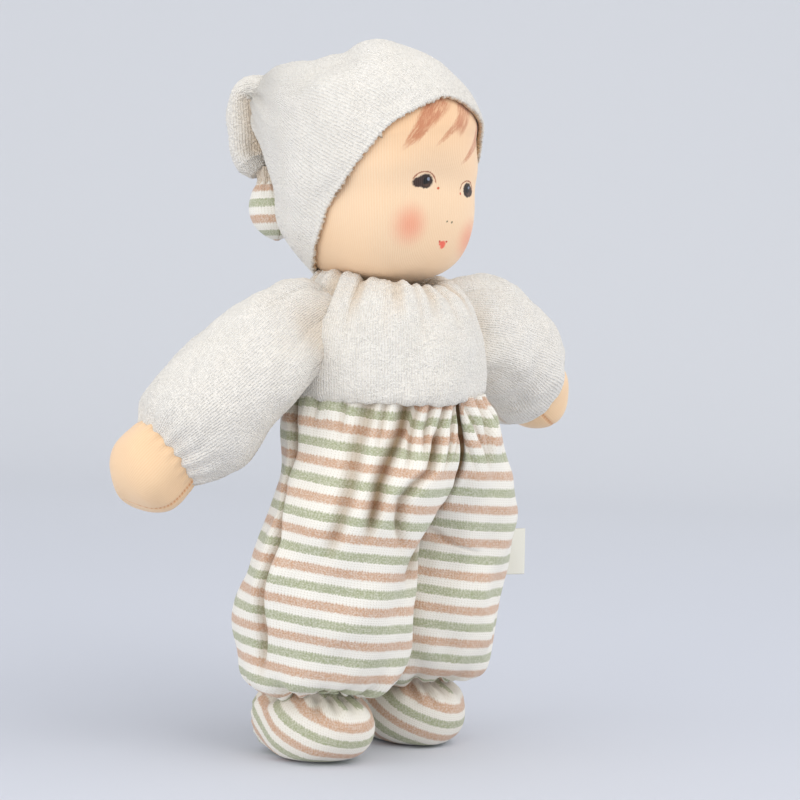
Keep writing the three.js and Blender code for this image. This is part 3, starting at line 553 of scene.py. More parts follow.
def head_reach(way):
    """Distance of the head's surface from its middle: (|x/a|^p + |y/b|^p + |z/c|^p)^(-1/p),
    squarer below and squarest at the cheeks and the chin, which draw in a little."""
    x, y, z = way[..., 0], way[..., 1], way[..., 2]
    low, front = smooth(0, 0.5, -z), smooth(0, 0.5, -y)
    depth = np.where(y < 0, FRONT - 3.5 * low, BACK)
    height = np.where(z < 0, DROP, RISE)
    power = mix(2.1, mix(2.6, 3.4, front), low)
    width = HALF_WIDTH - 5.5 * low * front
    total = np.abs(x / width) ** power + np.abs(y / depth) ** power + np.abs(z / height) ** power
    # The eyes lie in a shallow dent.
    eyes = bump(z, -0.42, 0.15) * smooth(0.0, -0.6, y)
    return total ** (-1 / power) - 0.9 * eyes


def crown(way):
    """The change of the crown's radius: CROWN at the direction's angle in the plane across
    SIGHT, fading as a bell away from that plane, and one soft dent before the ridge."""
    angle = np.degrees(np.arctan2(way @ SIGHT_UP, way @ SIGHT_LEFT))
    # Directions past 180 degrees count as the table's end.
    change, = along(CROWN, np.where(angle < -90, 180, angle))
    dent = bump(np.arccos(np.clip(way @ DENT_WAY, -1, 1)), 0, 0.3)
    return change * bump(way @ SIGHT, 0, 0.7) - DENT * dent


def sphere_grid(rows, around):
    """Directions (rows, around, 3) from the top pole to the lower one, short of both."""
    short = 0.02
    tilt = np.linspace(short, math.pi - short, rows)[:, None]
    turn = circle(around)
    flat = np.sin(tilt)
    return np.stack([flat * np.cos(turn), flat * np.sin(turn), np.cos(tilt) + 0 * turn], -1)


def build_head():
    """The tricot head: head_reach and the crown's change in every direction."""
    ways = sphere_grid(230, 280)
    rows = HEAD + ways * (head_reach(ways) + crown(ways))[..., None]
    uv = even_uv(ROUND_HEAD, rows[:, :1, 2] / MM_PER_M, ways.shape[1])
    head = surface("head_tricot", leaned(rows), uv, paint_face(), "head", ["head_skin", "head_core"])


def hull_planes(points):
    """Unit normals and distances of the facets of the convex hull of points round 0."""
    shape = bmesh.new()
    for point in points:
        shape.verts.new(point)
    made = bmesh.ops.convex_hull(shape, input=shape.verts)
    faces = [f for f in made["geom"] if isinstance(f, bmesh.types.BMFace)]
    bmesh.ops.recalc_face_normals(shape, faces=faces)
    normal = np.array([f.normal[:] for f in faces])
    far = np.array([f.verts[0].co.dot(f.normal) for f in faces])
    shape.free()
    keep = np.abs(far) > 1
    return (normal * np.sign(far)[:, None])[keep], np.abs(far)[keep]


def cap_hull(offset):
    """The hull of the ridge and of the head below its crown, swollen by an offset."""
    ways = sphere_grid(64, 72).reshape(-1, 3)
    head = ways * (head_reach(ways) + offset)[:, None]
    ball = sphere_grid(12, 16).reshape(-1, 3) * (RIDGE_RADIUS + offset)
    ridge = np.concatenate([ball + RIDGE_FOOT, ball + PEAK + FOLD_OUT * RIDGE_PAST_PEAK])
    return hull_planes(np.concatenate([head[head[:, 2] < SADDLE], ridge]))


def cap_reach(way, offset):
    """The cap's distance from the head's middle: a soft maximum, k ln(e^(a/k) + e^(b/k)), of
    the head a and of the hull b, whose distance is the least d / (n.way) of its facets."""
    flat = way.reshape(-1, 3)
    normal, far = cap_hull(offset)
    hull = np.empty(len(flat))
    batch = 4000
    for start in range(0, len(flat), batch):
        facing = flat[start:start + batch] @ normal.T
        distance = np.where(facing > 1e-4, far / np.maximum(facing, 1e-4), np.inf)
        hull[start:start + batch] = distance.min(1)
    hull = hull.reshape(way.shape[:-1])
    bare = head_reach(way) + offset
    soft = 0.8
    return soft * np.logaddexp(bare / soft, hull / soft) + crown(way)


# The edge of the cap round the face, from its top down to the back of the neck: height, and
# the angle round the head from the middle of the face.
FACE_EDGE = [
    (268.5, 0), (267.5, 9), (263, 25), (256.5, 40.5), (246, 54), (235.5, 66.5), (226, 78), (214, 90.5),
    (202.5, 113), (197.5, 145), (196, 180),
]


def face_edge(offset):
    """A closed loop: at each height and angle the radius is found by halving steps until the
    point lies on the head's surface."""
    share = np.linspace(0, 1, len(FACE_EDGE))
    z, angle = along([(s, *row) for s, row in zip(share, FACE_EDGE)], np.linspace(0, 1, 90))
    across = np.stack([np.sin(np.radians(angle)), -np.cos(np.radians(angle))], -1)
    low, high = np.zeros_like(z), np.full_like(z, 60.0)
    for _ in range(30):
        radius = (low + high) / 2
        at = np.concatenate([across * radius[:, None], (z - HEAD[2])[:, None]], 1)
        far = np.linalg.norm(at, axis=1)
        inside = far < head_reach(turned_z(at / far[:, None], CAP_TURN)) + offset
        low, high = np.where(inside, radius, low), np.where(inside, high, radius)
    side = np.concatenate([across * radius[:, None], z[:, None]], 1)
    return turned_z(np.concatenate([side, side[-2:0:-1] * [-1, 1, 1]]), CAP_TURN)


def loop_curve(points, count):
    """A closed smooth curve through points, by Catmull-Rom steps, evenly spaced in length."""
    n = len(points)
    t = np.linspace(0, n, 20 * n, endpoint=False)
    k, f = t.astype(int), (t % 1)[:, None]
    p0, p1, p2, p3 = (points[(k + d) % n] for d in (-1, 0, 1, 2))
    square, cube = 2 * p0 - 5 * p1 + 4 * p2 - p3, 3 * p1 - p0 - 3 * p2 + p3
    fine = 0.5 * (2 * p1 + (p2 - p0) * f + square * f**2 + cube * f**3)
    step = np.linalg.norm(np.roll(fine, -1, axis=0) - fine, axis=1)
    length = np.concatenate([[0], np.cumsum(step)])
    at = np.linspace(0, length[-1], count, endpoint=False)
    closed = np.vstack([fine, fine[:1]])
    return np.stack([np.interp(at, length, closed[:, c]) for c in range(3)], -1)


def build_hood():
    """Rows run from the face's edge to the peak, each point turned towards the peak along a
    great circle, and stand at cap_reach from the head's middle."""
    count = 460
    edge = loop_curve(face_edge(CLOTH)[::3], count) - HEAD
    edge /= np.linalg.norm(edge, axis=1, keepdims=True)
    angle = np.arccos(np.clip(edge @ PEAK_WAY, -1, 1))[None, :, None]
    share = np.linspace(0, 0.99, 210)[:, None, None]
    ways = (np.sin((1 - share) * angle) * edge[None] + np.sin(share * angle) * PEAK_WAY) / np.sin(angle)
    ways /= np.linalg.norm(ways, axis=-1, keepdims=True)
    rows = HEAD + ways * cap_reach(ways, CLOTH)[..., None]
    out = outward(rows)
    share, turn = share[..., 0], circle(count)
    pleats = 0.7 * np.sin(turn * 7 + 1.0) + 0.4 * np.sin(turn * 13 + 2.0)
    folds = smooth(0.55, 0.95, share) * pleats * smooth(1.0, 0.9, share)
    slack = 0.7 * noise(rows, 42.0, 3) + 0.25 * noise(rows, 17.0, 4)
    hem = 0.5 * bump(share, 0.01, 0.01)
    fluff = 0.07 * noise(rows, 1.5, 5)
    rows = rows + out * (folds + slack * smooth(0, 0.1, share) + hem + fluff)[..., None]
    # The cut edge rolls under, back to the face.
    ragged = (0.35 * noise(rows[0], 2.4, 6) + 0.3 * noise(rows[0], 1.2, 7))[:, None]
    back = rows[3] - rows[0]
    back /= np.linalg.norm(back, axis=1, keepdims=True)
    roll = [(0.7, -0.35, 1.0), (1.5, -0.2, 0.8), (2.3, 0.8, 0.4), (2.7, 3.0, 0.0)]
    under = [rows[0] - out[0] * down + back * (aside + ragged * fade) for down, aside, fade in roll]
    rows = np.concatenate([np.array(under[::-1]), rows])
    # Painted shade on the edge that rolls under, darkest deepest under.
    edge_painted_shade = 0.9 * smooth(4.5, 2.0, np.arange(len(rows)))[:, None]
    hood = surface("terry_hood", leaned(rows), arc_uv(rows), TERRY, "head", ["cap_hood"],
                   ends=(False, True), painted_shade=edge_painted_shade)


# The tail's middle line beside the fold: place, way out, height, half width, half depth.
TAIL = [
    (0.00, -9.0, -4.4, 3.6, 4.0), (0.06, -6.0, -2.2, 5.6, 4.8), (0.12, -3.0, -0.2, 8.6, 5.4),
    (0.20, 0.8, 0.2, 11.0, 6.0), (0.30, 3.8, -3.0, 12.2, 6.6), (0.44, 4.4, -10.6, 12.5, 7.0),
    (0.60, 4.8, -18.4, 12.6, 7.2), (0.76, 5.2, -25.0, 12.2, 7.4), (0.88, 4.6, -29.8, 10.6, 7.2),
    (0.95, 3.0, -32.4, 7.6, 6.0), (1.00, 1.6, -34.0, 5.0, 4.6),
]
TAIL_SWAY = 5.0
TAIL_END = FOLD_MIDDLE - FOLD_OUT * 1.2 + FOLD_AXIS * 7.5 - UP * 34.4
TIP_RADIUS, TIP_LENGTH = 10.2, 26.0
TIP = [(0, 0.38), (0.06, 0.52), (0.2, 0.78), (0.4, 0.98), (0.58, 1), (0.78, 0.82), (0.92, 0.46), (1, 0.08)]


def build_tail():
    """A flattened tube along TAIL. The side that faces -FOLD_AXIS folds in on itself and
    leaves a hollow."""
    place = np.linspace(0, 1, 140)
    out, high, half, depth = along(TAIL, place)
    line = FOLD_MIDDLE + out[:, None] * FOLD_OUT + high[:, None] * UP
    way = np.gradient(line, axis=0)
    way /= np.linalg.norm(way, axis=1, keepdims=True)
    across = np.cross(way, FOLD_AXIS)
    line = line + (TAIL_SWAY * smooth(0.2, 1.0, place))[:, None] * FOLD_AXIS
    turn = circle(200)
    c, s = np.cos(turn), np.sin(turn)
    length = (smooth(0.16, 0.36, place) * smooth(0.92, 0.74, place))[:, None]
    hollow = bump(turn, math.radians(222), 0.6) * length
    deep = bump(turn, math.radians(262), 0.45) * bump(place, 0.66, 0.12)[:, None]
    shrink = 1 - 0.4 * hollow - 0.45 * deep
    # A squarish oval.
    wide, thick = np.sign(c) * np.abs(c) ** 0.9, np.sign(s) * np.abs(s) ** 0.85
    rows = line[:, None] + FOLD_AXIS * (wide * half[:, None] * shrink)[..., None]
    rows = rows - across[:, None] * (thick * depth[:, None])[..., None]
    rows = rows + outward(rows) * (0.4 * noise(rows, 14.0, 8) + 0.12 * noise(rows, 1.7, 9))[..., None]
    # Painted shade in the hollow, deepest low down where it meets the hood.
    tail = surface("terry_tail", leaned(rows), arc_uv(rows), TERRY, "cap_tail", ["cap_tail"],
                   painted_shade=0.45 * hollow + 0.8 * deep)


def build_tip():
    """The tied neck of the cap's tail and its stuffed, striped tip: rings that widen and
    narrow down a line, with small gathers."""
    place = np.linspace(0, 1, 40)
    wide, = along([(0, 5.4), (0.3, 5.8), (0.6, 5.0), (0.8, 5.4), (1, 4.0)], place)
    turn = circle(96)
    line = TAIL_END + np.outer(place, UP * -9.0 - FOLD_OUT * 0.4) + UP * 2.5
    radius = wide[:, None] * (1 + 0.1 * np.sin(turn * 9))
    rows = level_rings(line, turn, radius)
    # The tied neck gets painted shade all over.
    surface("tail_neck", leaned(rows), arc_uv(rows), TERRY, "cap_tail", ["cap_tie"], painted_shade=0.4)
    place = np.linspace(0, 1, 110)
    wide, = along(TIP, place)
    turn = circle(160)
    pleat = 1 + 0.07 * np.sin(turn * 11 + 1) * bump(place, 0.02, 0.2)[:, None]
    seam = bump(angle_from(turn, math.radians(250)), 0, 0.05)
    line = TAIL_END + np.outer(place, UP * -TIP_LENGTH - FOLD_OUT * 3.0) - UP * 3.0
    radius = (wide * TIP_RADIUS)[:, None] * pleat - 0.5 * seam
    rows = level_rings(line, turn, radius)
    # Painted shade along the seam.
    tip = surface("striped_tip", leaned(rows), arc_uv(rows), KNIT_TIP, "cap_tail", ["cap_tip"],
                  painted_shade=0.6 * seam)


# Shirt

# Height, half width, front and back depth of the shirt, from the waist seam up to the
# neckline, whose edge turns down towards the neck.
SHIRT = [
    (0.00, 147.6, 39.6, 41.6, 33.6), (0.03, 148.2, 40.9, 43.0, 35.0), (0.08, 150.2, 42.0, 44.0, 36.0),
    (0.15, 153, 42.6, 44.2, 36.6), (0.30, 160, 43.0, 43.4, 37), (0.46, 169, 42.6, 42.0, 36.8),
    (0.60, 177, 41.0, 39.5, 35.5), (0.72, 184, 37.8, 36.4, 33.2), (0.82, 190, 34.2, 33.4, 30.8),
    (0.90, 195, 30.8, 30.4, 28.8), (0.945, 197.8, 27.8, 27.6, 26.8), (0.975, 197.4, 23.5, 23.5, 23.5),
    (1.00, 191, 17.0, 17, 17),
]


def oval(turn, half_width, front, back):
    """x = a cos t, y = b sin t with b the front depth where sin t < 0 and the back's above."""
    c, s = np.cos(turn), np.sin(turn)
    return c * half_width, s * np.where(s < 0, front, back)


def waist_rise(x, y):
    """The waist seam climbs a little across the photograph, whose level direction is (0.777,
    -0.629), and sags in front."""
    across = 0.777 * x - 0.629 * y
    return 0.045 * across - 1.6 * smooth(0, 42, -y)


def build_shirt():
    """Ovals stacked up through SHIRT, with folds as sines round them that fade in upwards."""
    place = np.linspace(0, 1, 190)[:, None]
    z, half, front, back = along(SHIRT, place)
    turn = circle(480)
    x, y = oval(turn, half, front, back)
    rows = np.stack([x, y, z + 0 * x], -1)
    rows[..., 2] += waist_rise(x, y) * smooth(0.5, 0.0, place)
    # The neckline dips under the chin.
    rows[..., 2] -= (3.6 * smooth(2, 24, -y) - 0.8 * smooth(0, 20, y)) * smooth(0.78, 0.95, place)
    n = outward(rows)
    sway = 0.12 * np.sin(turn * 3 + 1) + 0.08 * np.sin(turn * 7)
    gather = np.sin(turn * 26 + 5 * sway + 2 * place) * smooth(0.66, 0.9, place) * smooth(1.0, 0.95, place)
    wide = (np.abs(np.sin(turn * 7.5 + 3 * sway + 0.6)) ** 0.7 - 0.6) * smooth(0.42, 0.82, place)
    waist = np.sin(turn * 34 + 9 * sway) * smooth(0.16, 0.0, place)
    deep = bump(np.sin(turn * 13 + 4 * sway), -1, 0.5) * smooth(0.6, 0.88, place)
    slack = 0.7 * noise(rows, 40.0, 11) + 0.25 * noise(rows, 15.0, 12)
    fluff = 0.07 * noise(rows, 1.5, 13)
    rows = rows + n * (0.4 * gather + 1.4 * wide + 0.3 * waist + slack + fluff - 0.7 * deep)[..., None]
    # Painted shade in the deep folds and the hollows between the wide ones.
    shirt = surface("terry_shirt", rows, arc_uv(rows), TERRY, "torso",
                    ["shirt", "collar", "waist_tape", "trunk_core"],
                    painted_shade=0.35 * deep + 0.25 * np.clip(-wide, 0, 1))


# Arms

# Along the arm from the shoulder: distance, rise, fall, half depth of the sleeve.
SLEEVE = [
    (-17, 15, 10, 14), (-13, 20.6, 12, 17.5), (-6, 24.6, 13.5, 20.5), (3, 27.2, 14.5, 23.2),
    (12, 29.0, 15, 25.5), (22, 29.6, 15.8, 27), (32, 29.3, 17.8, 28), (42, 28.6, 20.6, 28.3),
    (52, 27.2, 22.8, 27.6), (61, 24.8, 22.3, 25.2), (67.5, 21.5, 19.8, 21.6), (71.5, 17.6, 17.2, 17.8),
    (73.4, 15.6, 15.6, 15.6), (74, 13, 13, 13),
]
# How much higher than SLEEVE the lifted left sleeve stands, by the distance along the arm.
LIFTED = [
    (-17, 0), (0, 2.2), (14, 4.6), (25, 7.2), (36, 8.0), (46, 7.6), (56, 6.6), (64, 5.0), (70, 2.4),
    (74, 0),
]
# The hand's radius along its length, which starts inside the sleeve.
HAND = [
    (0, 15.0), (0.03, 15.8), (0.16, 16.7), (0.38, 17.2), (0.6, 16.3), (0.8, 12.9), (0.92, 8.4),
    (0.98, 4.0), (1, 1.0),
]
HAND_START, HAND_SAG = 71.5, 2.5
# Each arm's side, shoulder, droop and sweep to the back, and the length of its hand.
ARM = {
    "right": (-1, np.array([-39.0, 1.2, 170.0]), math.radians(39.5), math.radians(16), 25.5),
    "left": (1, np.array([38.2, 3.4, 170.0]), math.radians(14), math.radians(18.5), 26.5),
}


def hung(points, side, shoulder, droop, sweep):
    """Arm points, made along +X from the shoulder, turned down and back to their place."""
    p = np.array(points, float)
    p[..., 0] *= side
    a = side * droop
    turned = np.stack([p[..., 0] * math.cos(a) + p[..., 2] * math.sin(a), p[..., 1],
                       -p[..., 0] * math.sin(a) + p[..., 2] * math.cos(a)], -1)
    return turned_z(turned, side * sweep) + shoulder


def arm_ring(turn, s, rise, fall, half, sag=0.0):
    """Ovals across the arm, higher above its line than below it."""
    c, t = np.cos(turn), np.sin(turn)
    return np.stack([s + 0 * c, c * half, t * np.where(t < 0, fall, rise) - sag + 0 * c], -1)


def build_arm(name):
    """A sleeve along SLEEVE, gathered at the armhole and the wrist, and a hand along HAND."""
    side, *hang, hand_length = ARM[name]
    s = np.linspace(SLEEVE[0][0], SLEEVE[-1][0], 200)[:, None]
    rise, fall, half = along(SLEEVE, s)
    if side > 0:
        rise = rise + along(LIFTED, s)[0]
        fall = fall - 1.8 * smooth(0, 16, s) * smooth(50, 34, s)
    turn = circle(300)
    # In front the sleeve starts flatter, where the shirt bulges.
    flat = mix(1.0, mix(0.5, 1.0, smooth(-14, 26, s)), -np.cos(turn))
    rows = arm_ring(turn, s, rise, fall, half * np.where(np.cos(turn) < 0, flat, 1.0))
    cuff = smooth(58, 72, s) * np.sin(turn * 15 + 1.5 * np.sin(turn * 2)) * 0.55
    top = smooth(22, -6, s) * (np.abs(np.sin(turn * 4 + 0.8)) ** 0.6 - 0.6) * 2.0
    slack = 0.75 * noise(rows, 38.0, 21 + side) + 0.25 * noise(rows, 14.0, 23 + side)
    seam = bump(angle_from(turn, math.radians(262)), 0, 0.035)
    fluff = 0.07 * noise(rows, 1.5, 25 + side)
    rows = rows + outward(rows) * (cuff + top + slack * smooth(74, 60, s) + fluff - 0.5 * seam)[..., None]
    # Painted shade in the seam, and deep in the armhole everywhere but the top.
    armhole = 0.32 * smooth(9, -2, s) * smooth(0.9, 0.2, np.sin(turn))
    solids = [f"{name}_sleeve", f"{name}_wrist_thread", f"{name}_arm_core", f"{name}_shoulder_tape"]
    sleeve = surface(f"{name}_terry_sleeve", hung(rows, side, *hang), arc_uv(rows), TERRY, f"{name}_arm",
                     solids, painted_shade=np.maximum(0.5 * seam, armhole))
    place = np.linspace(0, 1, 130)[:, None]
    radius, = along(HAND, place)
    turn = circle(200)
    sag = HAND_SAG * smooth(0, 1, place)
    rows = arm_ring(turn, HAND_START + place * hand_length, radius, radius, radius, sag)
    seam = bump(angle_from(turn, math.radians(232)), 0, 0.04)
    pucker = 0.35 * np.sin(turn * 22) * smooth(0.3, 0.05, place)
    slack = 0.35 * noise(rows, 22.0, 31 + side)
    rows = rows + outward(rows) * (pucker + slack - 0.3 * seam)[..., None]
    uv = even_uv(ROUND_HAND, place * 0.03, turn.size)
    # Painted shade in the seam's dent, in dashes at its stitches.
    stitches = 0.35 + 0.5 * (np.sin(place * 110) > 0)
    hand = surface(f"{name}_tricot_hand", hung(rows, side, *hang), uv, TRICOT, f"{name}_arm",
                   [f"{name}_hand", f"{name}_hand_core"], painted_shade=seam * stitches)


# Trousers

LEG_SIDE = {"right": -1, "left": 1}
# Millimetres: a leg's place beside the middle, half width, half depth and bulge in front.
LEG_X, LEG_HALF, LEG_DEPTH, BELLY = 28.5, 34.0, 36.0, 9.0
CUFF_RADIUS = 14.5
WAIST_HALF, WAIST_FRONT, WAIST_BACK = 40.0, 42.0, 34.0
TROUSER_FOOT, TROUSER_TOP = 28.65, 149.8
# Share of the way up from the ankle to the waist: how much of the cuff and of the waist is
# in the section, then half width, belly, front and back depth as shares of the leg's.
TROUSERS = [
    (0.00, 1, 0, 1, 0, 1, 1), (0.03, 0.35, 0, 0.95, 0, 0.95, 0.95), (0.09, 0.08, 0, 0.96, 0, 0.97, 0.97),
    (0.20, 0, 0, 1, 0, 1.05, 1.02), (0.32, 0, 0, 1.01, 0.1, 1.08, 0.94),
    (0.43, 0, 0, 0.96, 0.4, 1.02, 0.78), (0.54, 0, 0.05, 0.91, 0.7, 1.02, 0.66),
    (0.66, 0, 0.25, 0.93, 1, 1.08, 0.60), (0.80, 0, 0.58, 1.05, 1.2, 1.2, 0.66),
    (0.92, 0, 0.86, 1.2, 0.9, 1.2, 0.9), (1.00, 0, 1, 1, 0, 1, 1),
]
# Millimetres that each leg's outer side stands further out, by the share of the way up.
OUTER = {
    "right": [(0, 0), (0.3, 0), (0.45, 1.6), (0.6, 1.4), (0.75, 0), (1, 0)],
    "left": [(0, 0), (0.1, -0.6), (0.22, 0.8), (0.33, 3.2), (0.45, 3.2), (0.58, 1.2), (0.72, 0), (1, 0)],
}
# The path of the cloth: share of its length from the waist, height share, and how far the
# lower end turns in under the bulge.
TROUSER_PATH = [
    (0.00, 1.000, 0), (0.30, 0.74, 0), (0.62, 0.40, 0), (0.84, 0.14, 0), (0.92, 0.045, 0),
    (0.955, 0.01, 0.12), (0.98, 0.0, 0.35), (1.00, 0.02, 0.75),
]


def trouser_section(place):
    """Middle, half width, front and back depth of a leg's oval at a share of the way up."""
    cuff, waist, width, belly, front, back = along(TROUSERS, place)
    x = mix(LEG_X, 0.0, waist)
    y = mix(-BELLY * belly * (1 - cuff), 0.0, waist)
    half = mix(mix(LEG_HALF * width, CUFF_RADIUS, cuff), WAIST_HALF, waist)
    front = mix(mix(LEG_DEPTH * front, CUFF_RADIUS, cuff), WAIST_FRONT, waist)
    back = mix(mix(LEG_DEPTH * back, CUFF_RADIUS, cuff), WAIST_BACK, waist)
    return x, y, half, front, back


# Creases: a line of (angle in degrees, height), then width and depth in millimetres. The
# angle is 0 at the outer side, 90 behind, 180 at the middle seam and 270 in front.
CREASES = {
    "right": [
        ([(305, 147), (305, 139), (308, 132), (311, 124), (311, 117), (307, 109), (301, 96)], 2.4, 6.4),
        ([(326, 147), (326, 140), (329, 131), (329, 122), (326, 112), (323, 101), (322, 88)], 2.6, 3.8),
        ([(16, 147), (10, 136), (12, 126), (17, 115), (14, 105), (6, 91), (4, 71), (2, 55), (6, 38)],
         2.4, 4.2),
        ([(281, 131), (283, 122), (290, 117), (292, 111), (284, 102), (272, 92)], 2.4, 4.2),
        ([(212, 112), (224, 103), (235, 95), (242, 87), (246, 78)], 8.0, 7.5),
    ],
    "left": [
        ([(287, 147), (284, 138), (272, 122)], 2.4, 2.4),
        ([(214, 96), (234, 89), (253, 86)], 3.0, 1.8), ([(330, 140), (322, 118), (315, 104)], 3.0, 1.6),
    ],
}
# Small gathers under the waist seam: angle, how far down they run, depth.
GATHERS = {
    "right": [
        (317, 17, 2.0), (338, 12, 1.4), (354, 10, 1.2), (298, 24, 2.4), (290, 20, 2.2), (280, 24, 2.4),
        (271, 26, 2.4), (262, 22, 2.2), (252, 18, 1.8), (33, 16, 1.8), (50, 13, 1.5), (66, 20, 1.8),
        (82, 12, 1.6), (98, 18, 1.8), (114, 14, 1.5), (130, 20, 1.8), (146, 12, 1.4)],
    "left": [
        (272, 22, 2.0), (258, 24, 2.0), (299, 22, 2.0), (311, 14, 1.6), (323, 20, 1.8), (335, 14, 1.5),
        (350, 18, 1.8), (6, 14, 1.5), (22, 20, 1.8), (38, 13, 1.5), (54, 18, 1.8), (70, 14, 1.6),
        (86, 20, 1.8), (102, 13, 1.5), (118, 18, 1.7), (134, 14, 1.5)],
}
# Where creases and gathers lie round a leg, its mean radius, and the waist's height there.
CREASE_RADIUS, WAIST_Z = 34.0, 147.0


def crease(turn, z, points, width):
    """A valley along a line of (angle, height): a bell across it, fading at both ends, and
    the wider bell of the cloth that it pushes up beside it."""
    pts = np.array(sorted(points, key=lambda p: p[1]), float)
    away = angle_from(turn, np.interp(z, pts[:, 1], np.radians(pts[:, 0]))) * CREASE_RADIUS
    low, high = pts[0, 1], pts[-1, 1]
    ends = smooth(low - 6, low + 10, z) * (1 - smooth(high + 2, high + 8, z))
    return bump(away, 0, width) * ends, bump(away, 0, width * 4) * ends


def gathered(name, turn, z):
    """Each gather is a knife pleat: a step that falls away on one side only, and its stripes
    stand a little higher or lower than its neighbours'. Gives the cloth's way outwards, the
    painted shade in its valleys and the stripes' shift."""
    move, painted_shade, jump = 0 * z, 0 * z, 0 * z
    lift = np.random.default_rng(7 + LEG_SIDE[name]).uniform(-2.6, 2.6, 40)
    for k, (angle, down, depth) in enumerate(GATHERS[name]):
        foot = WAIST_Z - down
        valley, _ = crease(turn, z, [(angle, 150), (angle + 2.0 * math.sin(3.0 * k), foot)], 1.15)
        away = angle_from(turn, math.radians(angle))
        lean = smooth(0.0, 0.13, away) * smooth(0.2, 0.13, away) * smooth(foot, WAIST_Z - 1, z)
        move = move - depth * valley + 0.5 * depth * lean
        painted_shade = painted_shade + 0.2 * depth * valley
        raised = smooth(foot - 1, WAIST_Z + 4 - down / 2, z)
        jump = jump + lift[k] * smooth(-0.02, 0.01, away) * smooth(0.2, 0.17, away) * raised
    return move, painted_shade, jump


def build_trousers(name):
    """Rings down TROUSER_PATH, flattened along the middle seam, then creased, gathered and
    turned with the legs."""
    side = LEG_SIDE[name]
    place, tuck = along(TROUSER_PATH, np.linspace(0, 1, 270)[:, None])
    place = np.clip(place, 0, 1)
    x, y, half, front, back = trouser_section(np.maximum(place, 0.012))
    out, = along(OUTER[name], place)
    x, half = x + out / 2, half + out / 2
    turn = circle(300)
    cx, cy = oval(turn, half, front, back)
    shrink = 1 - tuck * 0.55
    px, py = x + cx * shrink, y + cy * shrink
    z = mix(TROUSER_FOOT, TROUSER_TOP, place) + 0 * turn
    z = z - 1.6 * (1 - smooth(0.0, 0.12, place)) * (1 - tuck)
    # The inner side lies flat along the middle seam, with a soft edge.
    apart, soft = 0.15, 2.2
    px = apart + soft * np.logaddexp(0, (px - apart) / soft)
    rows = np.stack([px, py, z], -1)
    n = outward(rows)
    sway = 0.25 * np.sin(turn * 3 + side) + 0.2 * np.sin(turn * 5 + 2)
    hem = np.sin(turn * 9 + 5 * sway) * smooth(0.13, 0.01, place) * 1.2
    hem = hem + np.sin(turn * 17) * smooth(0.08, 0.0, place) * 0.6
    slack = 1.1 * noise(rows, 42.0, 41 + side) + 0.4 * noise(rows, 17.0, 43 + side)
    move, painted_shade, jump = gathered(name, turn, z)
    move = move + hem + slack * smooth(1.02, 0.9, place)
    for points, width, depth in CREASES[name]:
        valley, hump = crease(turn, z, points, width)
        move = move - depth * valley + 0.28 * depth * hump
        # Painted shade in each crease's valley.
        painted_shade = painted_shade + 0.14 * depth * valley
    # The seam down the middle, where the two halves press on each other.
    above_crotch = smooth(80, 88, z)
    seam = bump(px, 0.0, 1.9) * above_crotch * np.abs(np.sin(turn)) ** 0.5
    move = move * smooth(0.6, 5.0, px) - 2.4 * seam
    # Painted shade along the middle seam, above the crotch.
    painted_shade = painted_shade + 1.2 * bump(px, 0.0, 0.9) * above_crotch
    rows = rows + n * move[..., None]
    rows[..., 0] *= side
    # The middle seam wanders to the doll's left in front, below the waist.
    rows[..., 0] += 3.0 * smooth(96, 130, rows[..., 2]) * smooth(4, 30, -rows[..., 1])
    # The stripes sink by a tenth towards the doll's left and front.
    tilt = 0.1 * (0.682 * rows[..., 0] - 0.731 * rows[..., 1])
    v = (rows[..., 2] + jump + tilt) / MM_PER_M
    # Under the hem the stripes run on across the tucked-in cloth.
    tucked = 14
    v[-tucked:] = v[-tucked] - (np.arange(tucked) * 0.0012)[:, None]
    uv = even_uv(ROUND_LEG, v, turn.size)
    rows = turned_z(rows, TWIST)
    rows[..., 2] += waist_rise(rows[..., 0], rows[..., 1]) * smooth(0.45, 1.0, place)
    leg = surface(f"{name}_striped_leg", rows, uv, KNIT, None, [f"{name}_trouser", f"{name}_leg_core"],
                  painted_shade=np.clip(painted_shade, 0, 1))
    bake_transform(leg)


# Boots

BOOT_HEIGHT, BOOT_HALF, TOE, HEEL, BOOT_NECK = 30.0, 21.0, 25.5, 30.5, 13.0
# Share of the way up: how much of the neck is in the section, then half width, toe and heel
# as shares of the boot's.
BOOT = [
    (0.00, 0, 0.45, 0.36, 0.5), (0.04, 0, 0.66, 0.6, 0.72), (0.12, 0, 0.84, 0.8, 0.88),
    (0.25, 0, 0.96, 0.93, 0.96), (0.42, 0, 1, 1, 1), (0.60, 0, 0.98, 0.98, 1),
    (0.74, 0.02, 0.9, 0.88, 0.95), (0.84, 0.25, 0.8, 0.76, 0.88), (0.92, 0.7, 0.75, 0.7, 0.85),
    (1.00, 1, 1, 1, 1),
]
HEEL_SEAM = math.radians(107)


